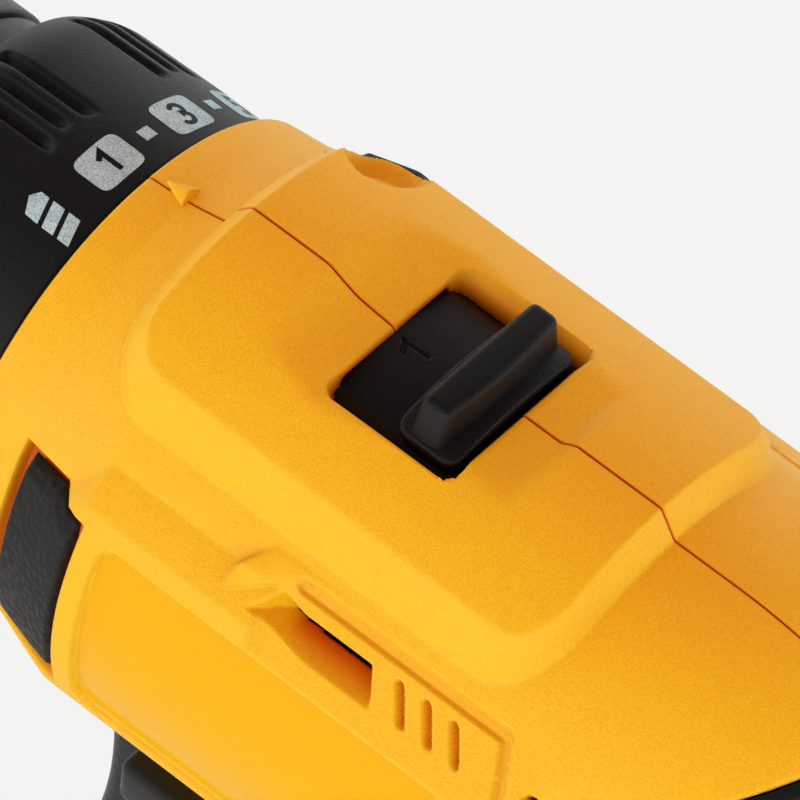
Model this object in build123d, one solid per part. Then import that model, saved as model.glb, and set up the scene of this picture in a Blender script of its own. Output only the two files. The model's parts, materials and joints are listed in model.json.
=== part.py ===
"""Cordless two-speed drill driver with a slide-on battery pack, built as separate pieces.

Frame: +X towards the chuck, +Y to the user's left, +Z up, millimetres.
The origin is the centre of the battery's flat base, and the drill axis runs along +X above it.
"""

from build123d import *
import math
import os

# Places of the main groups
AXIS_Z = 174.0
RIM_X = 42.0

# Fits and gaps
SEAM_GAP = 0.10
EASY_GAP = 0.30
SLIDE_GAP = 0.25
RUN_GAP = 0.05
SEAT_GAP = 0.10

# Housing barrel
RIM_R = 26.0
RIM_BAND = 2.0
RIM_CHAMFER = 0.6
BARREL_R = 30.0
BARREL_BLEND = 14.0
BARREL_STRAIGHT = 74.0
BARREL_LENGTH = 105.0
TAIL_EDGE_R = 4.0
TAIL_ARC_R = 45.0
WALL = 2.6
FRONT_LIP = 5.0

# Raised platform on top, its dish and the selector window
PLATFORM_FRONT = 10.5
PLATFORM_REAR = 65.5
PLATFORM_RISE = 3.0
PLATFORM_HALF_WIDTH = 20.0
PLATFORM_CORNER_R = 8.0
PLATFORM_EDGE_R = 2.2
DISH_FRONT = 25.0
DISH_REAR = 53.5
DISH_DEPTH = 1.2
DISH_HALF_WIDTH = 14.5
WINDOW_FRONT = 30.8
WINDOW_REAR = 46.8
WINDOW_HALF_WIDTH = 10.0
WINDOW_CORNER_R = 1.6

# Index pointer on the rim
POINTER_LENGTH = 3.6
POINTER_WIDTH = 2.8
POINTER_RISE = 0.9

# Side frame, label panel, rubber pads and vents
FRAME_FRONT = 18.6
FRAME_REAR = 66.0
FRAME_TOP = 13.5
FRAME_BOTTOM = -12.0
FRAME_RISE = 1.2
PANEL_BORDER = 2.0
PANEL_DEPTH = 0.7
PAD_FRONT = 8.5
PAD_REAR = 18.0
PAD_TOP = 15.5
PAD_BOTTOM = -7.5
PAD_DEPTH = 1.5
PAD_PROUD = 0.8
PAD_PERIMETER_GAP = 0.25
VENT_FRONT = 39.5
VENT_LENGTH = 10.0
VENT_HEIGHT = 3.2
VENT_BASE = 15.2

# Rear cover
COVER_TONGUE_R = 26.0
COVER_TOP = 92.5
COVER_WALL = 2.4
COVER_GAP = 0.15
COVER_VENTS = 5
COVER_VENT_WIDTH = 2.4
COVER_VENT_PITCH = 5.4
COVER_VENT_LENGTH = 14.0
COVER_SCREW_HEIGHT = 8.5

# Handle: height above the base, centre in x, length in x, width in y
HANDLE_SECTIONS = (
    (152.0, 4.0, 52.0, 37.0),
    (132.0, 0.5, 45.0, 35.0),
    (106.0, -3.0, 38.5, 33.0),
    (80.0, -2.5, 40.0, 34.0),
    (58.0, 1.0, 54.0, 42.0),
)
HANDLE_ROUNDNESS = 0.44
GRIP_THICKNESS = 1.6
GRIP_TOP = 132.0
GRIP_BOTTOM = 66.0
GRIP_FRONT_X = 7.0

# Foot that carries the battery rails
FOOT_FRONT_X = 45.0
FOOT_REAR_X = -43.0
FOOT_HALF_WIDTH = 35.0
FOOT_BOTTOM = 37.0
FOOT_TOP = 59.0
FOOT_CORNER_R = 15.0
FOOT_EDGE_R = 5.0
FOOT_WALL = 3.0

# Battery pack
PACK_LENGTH = 108.0
PACK_HALF_WIDTH = 36.5
PACK_SPLIT_Z = 16.0
PACK_TOP_Z = 36.6
PACK_CORNER_R = 13.0
PACK_EDGE_R = 3.0
PACK_WALL = 2.2
CELL_R = 9.2
CELL_LENGTH = 65.0
CELL_COUNT = 5
CELL_PITCH = 18.8
CELL_Z = 13.6
RAIL_HALF_WIDTH = 28.0
NECK_HALF_WIDTH = 23.0
NECK_TOP_Z = 42.6
RAIL_TOP_Z = 49.0
RAIL_REAR_X = -36.0
BUTTON_HALF_WIDTH = 14.0
BUTTON_HEIGHT = 9.0
BUTTON_TRAVEL = 3.0
BUTTON_PROUD = 2.4
BUTTON_DEPTH = 8.0
BUTTON_DROP = 5.0
PACK_SCREW_Y = 21.0
PACK_SCREW_DEPTH = 24.0
BOARD_GAP = 3.0
BOARD_THICKNESS = 1.6

# Gear train: three planetary stages with the same tooth counts
MODULE = 0.8
SUN_TEETH = 15
PLANET_TEETH = 15
RING_TEETH = SUN_TEETH + 2 * PLANET_TEETH
PLANETS = 3
PRESSURE = math.radians(25.0)
ADDENDUM = 0.70
DEDENDUM = 0.95
BACKLASH = 0.16
PLANET_PIN_R = 2.0
CARRIER_R = 16.2
CARRIER_THICKNESS = 2.5
STAGE_GAP = 0.5
STAGE_LENGTHS = (6.5, 9.0, 7.0)
STAGE_1_X = -9.2
RING_R = 21.5
SHIFT_RING_LENGTH = 6.0
SHIFT_TRAVEL = 7.0
SHIFT_GROOVE_WIDTH = 3.0
SHIFT_GROOVE_DEPTH = 1.0

# Gear case
CASE_R = 23.5
CASE_BORE_R = 21.6
CASE_FRONT_WALL = 4.0
NOSE_R = 14.0
NOSE_PROUD = 1.6
FORK_HALF_WIDTH = 3.5

# Selector slider
SLIDER_FRONT = 29.6
SLIDER_REAR = 54.4
SLIDER_HALF_WIDTH = 13.0
SLIDER_TOP_R = 29.4
SLIDER_THICKNESS = 1.6
RIB_FRONT = 38.8
RIB_REAR = 45.6
RIB_HALF_WIDTH = 9.3
RIB_TOP_R = 36.6
RIB_TOP_LENGTH = 2.6

# Motor
MOTOR_R = 18.0
MOTOR_WALL = 1.2
MOTOR_LENGTH = 42.0
MOUNT_THICKNESS = 2.6
MOTOR_SHAFT_R = 1.6
ROTOR_R = 11.2
ROTOR_SLOTS = 5
ROTOR_SLOT_WIDTH = 2.4
MAGNET_THICKNESS = 4.2
MAGNET_HALF_ANGLE = 62.0
END_CAP_LENGTH = 6.0
COMMUTATOR_R = 4.6
BRUSH_SIZE = 3.2
FAN_R = 15.4
FAN_BLADES = 9
FAN_LENGTH = 5.0

# Spindle, bearing and clutch
SPINDLE_R = 6.0
BEARING_R = 11.0
BEARING_WIDTH = 7.0
BEARING_RACE = 1.7
BEARING_BALLS = 9
BUSH_WALL = 1.6
SPRING_WIRE_R = 1.0
SPRING_TURNS = 4
SPRING_R = 17.6
NUT_WIDTH = 4.0
NUT_R = 20.0
NUT_LUGS = 3
NUT_LUG_WIDTH = 5.0
NUT_LUG_HEIGHT = 1.6
WASHER_THICKNESS = 1.5

# Torque collar
COLLAR_GAP = 0.4
COLLAR_LENGTH = 21.0
COLLAR_R = 25.2
COLLAR_BAND = 9.0
COLLAR_GRIP_R = 24.4
COLLAR_WALL = 2.6
COLLAR_GROOVE_SETS = 9
COLLAR_GROOVES = 3
COLLAR_GROOVE_PITCH = 6.2
COLLAR_GROOVE_R = 0.75

# Keyless chuck
CHUCK_GAP = 1.5
CHUCK_LENGTH = 43.0
CHUCK_BODY_R = 12.6
CHUCK_NOSE_R = 9.6
CHUCK_REAR_R = 15.6
CHUCK_RING_LENGTH = 4.0
CHUCK_RING_R = 20.0
SLEEVE_R = 20.5
SLEEVE_FRONT_R = 15.2
SLEEVE_BORE_R = 18.2
SLEEVE_STRAIGHT = 17.0
SLEEVE_RIBS = 18
THREAD_R = 6.35
THREAD_LENGTH = 13.0
JAWS = 3
JAW_R = 3.4
JAW_ANGLE = 15.0
JAW_TIP_OFFSET = 3.6
JAW_PROUD = 2.5
JAW_LENGTH = 34.0
JAW_ROOM = 8.0
CHUCK_SCREW_R = 2.4
CHUCK_FLOOR = 2.0
GRIP_R = 3.2
JAW_CLOSE = 2.0
CHUCK_NUT_REAR = 20.0
CHUCK_NUT_LENGTH = 5.0

# Trigger, switch, direction lever and work light
TRIGGER_FRONT_X = 33.0
TRIGGER_REAR_X = 14.5
TRIGGER_BOTTOM_Z = 112.0
TRIGGER_TOP_Z = 137.5
TRIGGER_HALF_WIDTH = 9.5
TRIGGER_TRAVEL = 7.0
TRIGGER_SCOOP_R = 26.0
TRIGGER_EDGE_R = 2.4
PLUNGER_R = 2.4
SWITCH_FRONT_X = 5.5
SWITCH_LENGTH = 18.0
SWITCH_HALF_WIDTH = 8.5
SWITCH_BOTTOM_Z = 106.0
SWITCH_TOP_Z = 138.0
LEVER_CENTRE = 24.0
LEVER_LENGTH = 12.0
LEVER_HEIGHT = 6.0
LEVER_DROP = 30.6
LEVER_HALF_SPAN = 22.0
LED_R = 2.5
LED_DROP = 28.0
LED_LENGTH = 7.0

# Housing screws: x and z of each
SCREW_PLACES = ((-13.0, 146.0), (-12.5, 96.0), (-34.0, 54.5), (33.0, 54.5))
SCREW_R = 1.5
SCREW_HEAD_R = 2.8
SCREW_HEAD_HEIGHT = 2.0
SCREW_SEAT_Y = 6.0
SCREW_TIP_Y = -11.0
BOSS_R = 3.6

# Places that follow from the sizes above
RAIL_FRONT_X = FOOT_FRONT_X
COLLAR_FRONT_X = RIM_X + COLLAR_GAP + COLLAR_LENGTH
NOSE_FRONT_X = COLLAR_FRONT_X + NOSE_PROUD
CHUCK_REAR_X = NOSE_FRONT_X + CHUCK_GAP
BOARD_Z = CELL_Z + CELL_R + BOARD_GAP


def behind_rim(distance):
    """The x of a place that lies this far behind the rim's front face."""
    return RIM_X - distance


def block(x, y, z):
    """A box from the low and high value on each axis."""
    centre = Pos((x[0] + x[1]) / 2, (y[0] + y[1]) / 2, (z[0] + z[1]) / 2)
    return centre * Box(x[1] - x[0], y[1] - y[0], z[1] - z[0])


def rod(radius, x0, x1, y=0.0, z=AXIS_Z):
    """A round bar along X, on the drill axis unless moved."""
    return Pos((x0 + x1) / 2, y, z) * Rot(0, 90, 0) * Cylinder(radius, x1 - x0)


def tube(outer, inner, x0, x1):
    """A round tube along the drill axis."""
    return rod(outer, x0, x1) - rod(inner, x0, x1)


def cross_rod(radius, y0, y1, x, z):
    """A round bar along Y."""
    return Pos(x, (y0 + y1) / 2, z) * Rot(90, 0, 0) * Cylinder(radius, y1 - y0)


def upright_rod(radius, z0, z1, x, y):
    """A round bar along Z."""
    return Pos(x, y, (z0 + z1) / 2) * Cylinder(radius, z1 - z0)


def turned(corners):
    """A solid turned about the drill axis from (x, radius) corners."""
    outline = Polyline([(x, 0, AXIS_Z + r) for x, r in corners], close=True)
    return revolve(make_face(outline), Axis((0, 0, AXIS_Z), (1, 0, 0)))


def about_axis(shape, degrees):
    """The shape turned about the drill axis."""
    return Pos(0, 0, AXIS_Z) * Rot(degrees, 0, 0) * Pos(0, 0, -AXIS_Z) * shape


def rounded_plate(x, half_width, z, corner_r):
    """An upright block with rounded corners in plan."""
    outline = RectangleRounded(x[1] - x[0], 2 * half_width, corner_r)
    return Pos((x[0] + x[1]) / 2, 0, z[0]) * extrude(outline, z[1] - z[0])


def mirrored(shape):
    """The shape's twin on the other side of the seam plane."""
    return mirror(shape, about=Plane.XZ)


def barrel_form(inset):
    """The barrel's turned outer form, taken in by inset all over."""
    rim_r = RIM_R - inset
    barrel_r = BARREL_R - inset
    tail_r = TAIL_ARC_R - inset
    front = RIM_X
    band = behind_rim(RIM_BAND)
    full = behind_rim(BARREL_BLEND)
    tail = behind_rim(BARREL_STRAIGHT)
    end = behind_rim(BARREL_LENGTH) + inset
    drop = tail_r - math.sqrt(tail_r**2 - (tail - end) ** 2)
    half = math.asin((tail - end) / tail_r) / 2
    mid_x = tail - tail_r * math.sin(half)
    mid_r = barrel_r - tail_r * (1 - math.cos(half))

    def at(x, r):
        return (x, 0, AXIS_Z + r)

    outline = Curve() + [
        Polyline(
            at(end, 0),
            at(front, 0),
            at(front, rim_r - RIM_CHAMFER),
            at(front - RIM_CHAMFER, rim_r),
            at(band, rim_r),
        ),
        Spline(at(band, rim_r), at(full, barrel_r), tangents=[(-1, 0, 0), (-1, 0, 0)]),
        Line(at(full, barrel_r), at(tail, barrel_r)),
        ThreePointArc(at(tail, barrel_r), at(mid_x, mid_r), at(end, barrel_r - drop)),
        Line(at(end, barrel_r - drop), at(end, 0)),
    ]
    form = revolve(make_face(outline), Axis((0, 0, AXIS_Z), (1, 0, 0)))
    tail_face = form.faces().sort_by(Axis.X)[0]
    return fillet(tail_face.edges(), TAIL_EDGE_R)


def platform_form(inset):
    """The raised platform on the barrel's top, taken in by inset."""
    x = (behind_rim(PLATFORM_REAR) + inset, behind_rim(PLATFORM_FRONT) - inset)
    half = PLATFORM_HALF_WIDTH - inset
    corner = max(PLATFORM_CORNER_R - inset, PLATFORM_EDGE_R)
    top_r = BARREL_R + PLATFORM_RISE - inset
    plan = rounded_plate(x, half, (AXIS_Z, AXIS_Z + 2 * BARREL_R), corner)
    form = plan & rod(top_r, *x)
    top = form.faces().sort_by(Axis.Z)[-1]
    return fillet(top.edges(), PLATFORM_EDGE_R)


def ring_zone(r, x, z):
    """The part of a cylinder beyond r on both sides, between two heights from the axis."""
    outside = 2 * BARREL_R
    zone = block(x, (-outside, outside), (AXIS_Z + z[0], AXIS_Z + z[1]))
    return zone - rod(r, x[0] - 1, x[1] + 1)


def handle_form(inset):
    """The grip's lofted form, taken in by inset."""
    sections = []
    for z, x, length, width in HANDLE_SECTIONS:
        size = (length - 2 * inset, width - 2 * inset)
        outline = RectangleRounded(*size, HANDLE_ROUNDNESS * min(size))
        sections.append(Pos(x, 0, z) * outline)
    return loft(sections)


def foot_form(inset):
    """The foot's rounded block, taken in by inset at its sides and top."""
    x = (FOOT_REAR_X + inset, FOOT_FRONT_X - inset)
    z = (FOOT_BOTTOM, FOOT_TOP - inset)
    form = rounded_plate(x, FOOT_HALF_WIDTH - inset, z, FOOT_CORNER_R - inset)
    top = form.faces().sort_by(Axis.Z)[-1]
    return fillet(top.edges(), FOOT_EDGE_R)


def rail_channel(gap, x):
    """The T-shaped space that the battery's rails fill, grown by gap."""
    neck = block(x, (-NECK_HALF_WIDTH - gap, NECK_HALF_WIDTH + gap), (FOOT_BOTTOM - 1, RAIL_TOP_Z))
    wide = block(x, (-RAIL_HALF_WIDTH - gap, RAIL_HALF_WIDTH + gap), (NECK_TOP_Z - gap, RAIL_TOP_Z + gap))
    return neck + wide


def cover_zone(gap):
    """The space behind the housing's tongue-shaped rear edge."""
    centre = behind_rim(COVER_TOP - COVER_TONGUE_R)
    reach = 2 * BARREL_R
    behind = block(
        (centre - 3 * BARREL_R, centre - gap),
        (-reach, reach),
        (AXIS_Z - reach, AXIS_Z + reach),
    )
    tongue = upright_rod(COVER_TONGUE_R + gap, AXIS_Z - reach, AXIS_Z + reach, centre, 0)
    lower = block(
        (centre - 3 * BARREL_R, centre - gap),
        (-reach, reach),
        (AXIS_Z - reach, AXIS_Z - BARREL_R / 3),
    )
    return (behind - tongue) + lower


def pad_zone(inset):
    """The rubber pad's outline seen from the side, taken in by inset, through the whole barrel."""
    front = behind_rim(PAD_FRONT) - inset
    rear = behind_rim(PAD_REAR) + inset
    top = AXIS_Z + PAD_TOP - inset
    bottom = AXIS_Z + PAD_BOTTOM + inset
    jog = (PAD_REAR - PAD_FRONT) / 3
    corners = [
        (front, top),
        (rear + jog, top),
        (rear + 0.7 * jog, top - jog),
        (rear, top - 1.6 * jog),
        (rear, bottom),
        (front, bottom),
    ]
    face = make_face(Polyline([(x, 0, z) for x, z in corners], close=True))
    return extrude(face, amount=2 * BARREL_R, dir=(0, 1, 0), both=True)


def pad_pair():
    """Both rubber pads, each a curved patch that stands a little proud of the barrel."""
    skin = barrel_form(-PAD_PROUD) - barrel_form(PAD_DEPTH)
    pads = skin & pad_zone(PAD_PERIMETER_GAP)
    left = pads & block((-200, 200), (0, 100), (0, 300))
    return list(left.solids()) + list(mirrored(left).solids())


def grip_zone():
    """The back and sides of the handle, where rubber covers the shell."""
    reach = 2 * BARREL_R
    return block((-reach, GRIP_FRONT_X), (-reach, reach), (GRIP_BOTTOM, GRIP_TOP))


def grip_pair():
    """The rubber grips, one on each housing half."""
    skin = (handle_form(0) - handle_form(GRIP_THICKNESS)) & grip_zone()
    left = skin & block((-200, 200), (SEAM_GAP / 2, 100), (0, 300))
    return list(left.solids()) + list(mirrored(left).solids())


def pointer():
    """The small raised arrow head that the torque numbers are read against."""
    tip_x = behind_rim(RIM_BAND)
    base_x = tip_x - POINTER_LENGTH
    low = AXIS_Z + RIM_R - 1
    high = AXIS_Z + BARREL_R - PLATFORM_RISE + POINTER_RISE
    face = make_face(
        Polyline(
            [(tip_x, 0, low), (base_x, POINTER_WIDTH / 2, low), (base_x, -POINTER_WIDTH / 2, low)],
            close=True,
        )
    )
    return extrude(face, amount=high - low, dir=(0, 0, 1))


def housing_outside():
    """The outer form of the clamshell before it is hollowed and split."""
    form = barrel_form(0) + platform_form(0)
    frame_x = (behind_rim(FRAME_REAR), behind_rim(FRAME_FRONT))
    frame = rod(BARREL_R + FRAME_RISE, *frame_x) - rod(BARREL_R - WALL, *frame_x)
    reach = 2 * BARREL_R
    frame &= block(frame_x, (-reach, reach), (AXIS_Z + FRAME_BOTTOM, AXIS_Z + FRAME_TOP))
    form += frame
    form += pointer()
    form += handle_form(0) & block((-200, 200), (-100, 100), (0, AXIS_Z))
    return form + foot_form(0)


def housing_hollow():
    """Everything that is cut out of the clamshell."""
    cavity = barrel_form(WALL) & block((-200, behind_rim(FRONT_LIP)), (-100, 100), (0, 300))
    cavity += rod(CASE_R + SEAT_GAP, behind_rim(FRONT_LIP) - 1, RIM_X + 1)
    cavity += platform_form(WALL)
    inner_handle = handle_form(WALL + GRIP_THICKNESS)
    cavity += inner_handle & block((-200, 200), (-100, 100), (FOOT_TOP - FOOT_WALL - 1, AXIS_Z))
    foot_room = foot_form(FOOT_WALL) & block((-200, 200), (-100, 100), (RAIL_TOP_Z + FOOT_WALL, FOOT_TOP))
    cavity += foot_room
    cavity += rail_channel(SLIDE_GAP, (RAIL_REAR_X - SLIDE_GAP, FOOT_FRONT_X + 1))
    return cavity


def housing_openings():
    """Windows, slots and recesses through the clamshell's wall."""
    dish_x = (behind_rim(DISH_REAR), behind_rim(DISH_FRONT))
    top_r = BARREL_R + PLATFORM_RISE
    above = (AXIS_Z + top_r / 2, AXIS_Z + 2 * top_r)
    dish = rounded_plate(dish_x, DISH_HALF_WIDTH, above, PLATFORM_CORNER_R / 2)
    dish -= rod(top_r - DISH_DEPTH, *dish_x)
    window = rounded_plate(
        (behind_rim(WINDOW_REAR), behind_rim(WINDOW_FRONT)),
        WINDOW_HALF_WIDTH,
        above,
        WINDOW_CORNER_R,
    )
    panel = ring_zone(
        BARREL_R + FRAME_RISE - PANEL_DEPTH,
        (behind_rim(FRAME_REAR - PANEL_BORDER), behind_rim(FRAME_FRONT + PANEL_BORDER)),
        (FRAME_BOTTOM + PANEL_BORDER, FRAME_TOP - PANEL_BORDER),
    )
    vent = ring_zone(
        BARREL_R - 2 * WALL,
        (behind_rim(VENT_FRONT + VENT_LENGTH), behind_rim(VENT_FRONT)),
        (VENT_BASE, VENT_BASE + VENT_HEIGHT),
    )
    pads = pad_zone(0) & (barrel_form(-2 * PAD_PROUD) - barrel_form(PAD_DEPTH))
    trigger = block(
        (0, 2 * BARREL_R),
        (-TRIGGER_HALF_WIDTH - EASY_GAP, TRIGGER_HALF_WIDTH + EASY_GAP),
        (TRIGGER_BOTTOM_Z - EASY_GAP, TRIGGER_TOP_Z + EASY_GAP),
    )
    return [dish, window, panel, vent, pads, trigger, lever_slot(), led_hole()]


def lever_box(gap, half_span):
    """The direction lever's bar, grown by gap on its long sides."""
    centre = behind_rim(LEVER_CENTRE)
    z = AXIS_Z - LEVER_DROP
    return block(
        (centre - LEVER_LENGTH / 2 - gap, centre + LEVER_LENGTH / 2 + gap),
        (-half_span, half_span),
        (z - LEVER_HEIGHT / 2 - gap, z + LEVER_HEIGHT / 2 + gap),
    )


def lever_slot():
    """The slot that the direction lever slides through."""
    return lever_box(EASY_GAP, 2 * BARREL_R)


def led_hole():
    """The round seat of the work light under the barrel's front."""
    return rod(LED_R + SEAT_GAP, behind_rim(LED_LENGTH) - 1, RIM_X + 1, z=AXIS_Z - LED_DROP)


def led_housing():
    """The small brow under the rim that carries the work light."""
    z = AXIS_Z - LED_DROP
    return rod(LED_R + WALL, behind_rim(LED_LENGTH + BARREL_BLEND), behind_rim(RIM_BAND), z=z)


def housing_ribs():
    """Rings inside the shell that locate the gear case and the motor."""
    ribs = []
    for x in (STAGE_1_X + 2, behind_rim(FRONT_LIP) - 12):
        ribs.append(tube(BARREL_R - WALL / 2, CASE_R + SEAT_GAP, x, x + 2))
    motor_x = behind_rim(COVER_TOP - COVER_TONGUE_R) + 2
    ribs.append(tube(BARREL_R - WALL / 2, MOTOR_R + SEAT_GAP, motor_x, motor_x + 2))
    below = block((-200, 200), (-100, 100), (0, AXIS_Z + BARREL_R / 2))
    return [rib & below for rib in ribs]


def screw_boss(x, z):
    """A boss across both halves."""
    return cross_rod(BOSS_R, -PLATFORM_HALF_WIDTH, PLATFORM_HALF_WIDTH, x, z)


def screw_holes(x, z):
    """Clearance hole, head pocket and pilot hole of one housing screw."""
    reach = 2 * BARREL_R
    hole = cross_rod(SCREW_R + RUN_GAP, SCREW_TIP_Y - 1, SCREW_SEAT_Y + 1, x, z)
    return hole + cross_rod(SCREW_HEAD_R + SEAT_GAP, SCREW_SEAT_Y, reach, x, z)


def housing_pair():
    """The two yellow clamshell halves."""
    outside = housing_outside() + led_housing()
    shell = outside - housing_hollow()
    shell += [rib & barrel_form(WALL / 2) for rib in housing_ribs()]
    for place in SCREW_PLACES:
        shell += screw_boss(*place) & outside
    for place in SCREW_PLACES:
        shell -= screw_holes(*place)
    for opening in housing_openings():
        shell -= opening
    shell -= cover_zone(0)
    shell -= (handle_form(-1) - handle_form(GRIP_THICKNESS)) & grip_zone()
    left = shell & block((-200, 200), (SEAM_GAP / 2, 100), (0, 300))
    right = shell & block((-200, 200), (-100, -SEAM_GAP / 2), (0, 300))
    return left, right


def rear_cover():
    """The black cap that closes the back and holds the two halves together."""
    shell = (barrel_form(0) - barrel_form(COVER_WALL)) & cover_zone(COVER_GAP)
    side = BARREL_R
    slot_x = (behind_rim(COVER_TOP), behind_rim(COVER_TOP) + COVER_VENT_LENGTH)
    first = -(COVER_VENTS - 1) / 2 * COVER_VENT_PITCH
    for index in range(COVER_VENTS):
        z = AXIS_Z + first + index * COVER_VENT_PITCH
        half = COVER_VENT_WIDTH / 2
        shell -= block(slot_x, (-2 * side, 2 * side), (z - half, z + half))
    ring_x = motor_span()[0] + END_CAP_LENGTH
    ring = tube(BARREL_R, MOTOR_R + SEAT_GAP, ring_x, ring_x + 2) & barrel_form(COVER_WALL / 2)
    shell += ring & cover_zone(COVER_GAP)
    for hole in cover_screw_rods(SCREW_R + SEAT_GAP):
        shell -= hole
    return shell


def cover_screw_rods(radius):
    """Bars along the rear cover's two screws, from the back into the motor's end cap."""
    end = behind_rim(BARREL_LENGTH)
    inner = motor_span()[0] + END_CAP_LENGTH - 1
    return [rod(radius, end, inner, z=AXIS_Z + z) for z in (COVER_SCREW_HEIGHT, -COVER_SCREW_HEIGHT)]


def cover_screws():
    """The two screws that hold the rear cover to the motor's end cap."""
    end = behind_rim(BARREL_LENGTH)
    solids = []
    for shank, z in zip(cover_screw_rods(SCREW_R), (COVER_SCREW_HEIGHT, -COVER_SCREW_HEIGHT)):
        head = rod(SCREW_HEAD_R, end - SCREW_HEAD_HEIGHT, end, z=AXIS_Z + z)
        slot = block(
            (end - SCREW_HEAD_HEIGHT - 1, end - SCREW_HEAD_HEIGHT / 2),
            (-SCREW_HEAD_R / 8, SCREW_HEAD_R / 8),
            (AXIS_Z + z - SCREW_HEAD_R, AXIS_Z + z + SCREW_HEAD_R),
        )
        solids.append(head + shank - slot)
    return solids


def housing_screws():
    """The screws that join the two housing halves."""
    solids = []
    for x, z in SCREW_PLACES:
        head_end = SCREW_SEAT_Y + SCREW_HEAD_HEIGHT
        screw = cross_rod(SCREW_HEAD_R, SCREW_SEAT_Y, head_end, x, z)
        screw += cross_rod(SCREW_R, SCREW_TIP_Y, SCREW_SEAT_Y, x, z)
        for turn in (0, 90):
            slot = Box(2 * SCREW_HEAD_R * 0.7, 2 * SCREW_HEAD_HEIGHT / 2, SCREW_HEAD_R / 4)
            screw -= Pos(x, head_end, z) * Rot(0, turn, 0) * slot
        solids.append(screw)
    return solids


def tooth_outline(teeth, addendum, dedendum, thinning):
    """Gear outline in the YZ plane about the drill axis, with a tooth at +Z."""
    pitch_r = MODULE * teeth / 2
    base_r = pitch_r * math.cos(PRESSURE)
    tip_r = pitch_r + addendum
    root_r = pitch_r - dedendum
    start_r = max(base_r, root_r)

    def half_angle(r):
        slope = math.acos(min(1.0, base_r / r))
        fall = math.tan(slope) - slope - (math.tan(PRESSURE) - PRESSURE)
        return math.pi / (2 * teeth) - thinning / (2 * pitch_r) - fall

    flank = [(r, half_angle(r)) for r in (start_r, (start_r + tip_r) / 2, tip_r)]
    if root_r < start_r:
        flank.insert(0, (root_r, flank[0][1]))
    points = []
    for tooth in range(teeth):
        centre = 2 * math.pi * tooth / teeth
        for r, a in flank:
            points.append((r, centre - a))
        for r, a in reversed(flank):
            points.append((r, centre + a))
    corners = [(0, r * math.sin(a), AXIS_Z + r * math.cos(a)) for r, a in points]
    return make_face(Polyline(corners, close=True))


def gear_bar(teeth, x0, x1):
    """A straight external gear along the drill axis."""
    face = tooth_outline(teeth, ADDENDUM, DEDENDUM, BACKLASH)
    return Pos(x0, 0, 0) * extrude(face, amount=x1 - x0, dir=(1, 0, 0))


def ring_gear(x0, x1):
    """A ring gear whose tooth spaces match the planets."""
    space = tooth_outline(RING_TEETH, DEDENDUM, ADDENDUM, -BACKLASH)
    return rod(RING_R, x0, x1) - Pos(x0, 0, 0) * extrude(space, amount=x1 - x0, dir=(1, 0, 0))


def planet_centre():
    """Distance of the planets' pins from the drill axis."""
    return MODULE * (SUN_TEETH + PLANET_TEETH) / 2


def stage_spans():
    """For each stage: planets' start and end, and the carrier plate's front face."""
    spans = []
    x = STAGE_1_X
    for index, length in enumerate(STAGE_LENGTHS):
        if index == 2:
            x = max(x, shift_ring_span()[1] + SHIFT_TRAVEL + STAGE_GAP)
        end = x + length
        plate = end + STAGE_GAP + CARRIER_THICKNESS
        spans.append((x, end, plate))
        x = plate + STAGE_GAP
    return spans


def shift_ring_span():
    """The sliding ring gear's two ends in low gear."""
    start = STAGE_1_X + STAGE_LENGTHS[0] + 2 * STAGE_GAP + CARRIER_THICKNESS - 0.1
    return start, start + SHIFT_RING_LENGTH


def planets(stage):
    """The planet gears of one stage, in mesh."""
    start, end, _ = stage_spans()[stage]
    bored = gear_bar(PLANET_TEETH, start, end) - rod(PLANET_PIN_R + RUN_GAP, start, end)
    gear = Pos(0, 0, planet_centre()) * bored
    return [about_axis(gear, 360 / PLANETS * index) for index in range(PLANETS)]


def carrier_plate(stage):
    """A carrier's plate with its planet pins."""
    start, end, plate = stage_spans()[stage]
    carrier = rod(CARRIER_R, end + STAGE_GAP, plate)
    for index in range(PLANETS):
        pin = rod(PLANET_PIN_R, start, end + STAGE_GAP, z=AXIS_Z + planet_centre())
        carrier += about_axis(pin, 360 / PLANETS * index)
    return carrier


def carrier(stage):
    """A carrier with the next stage's sun gear on its front."""
    next_end = stage_spans()[stage + 1][1]
    return carrier_plate(stage) + gear_bar(SUN_TEETH, stage_spans()[stage][2], next_end)


def case_front_x():
    """The gear case's inner front wall."""
    return stage_spans()[2][2] + STAGE_GAP


def shift_ring():
    """The sliding ring gear with a groove for the selector's fork."""
    start, end = shift_ring_span()
    middle = (start + end) / 2
    groove = (middle - SHIFT_GROOVE_WIDTH / 2, middle + SHIFT_GROOVE_WIDTH / 2)
    return ring_gear(start, end) - tube(RING_R + 1, RING_R - SHIFT_GROOVE_DEPTH, *groove)


def gear_case():
    """The gear case with its nose tube, bearing seat and fork slot."""
    rear = STAGE_1_X
    wall = case_front_x()
    bearing = bearing_span()
    case = rod(CASE_R, rear, wall + CASE_FRONT_WALL) + rod(NOSE_R, wall, NOSE_FRONT_X)
    case -= rod(CASE_BORE_R, rear, wall)
    case -= rod(SPINDLE_R + BUSH_WALL, wall, NOSE_FRONT_X)
    case -= rod(BEARING_R, bearing[0], NOSE_FRONT_X)
    start, end = shift_ring_span()
    case -= block(
        (start - STAGE_GAP, end + SHIFT_TRAVEL + STAGE_GAP),
        (-FORK_HALF_WIDTH - EASY_GAP, FORK_HALF_WIDTH + EASY_GAP),
        (AXIS_Z, AXIS_Z + 2 * CASE_R),
    )
    return case


def bearing_span():
    """The front ball bearing's two ends."""
    return NOSE_FRONT_X - BEARING_WIDTH - 1, NOSE_FRONT_X - 1


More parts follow.
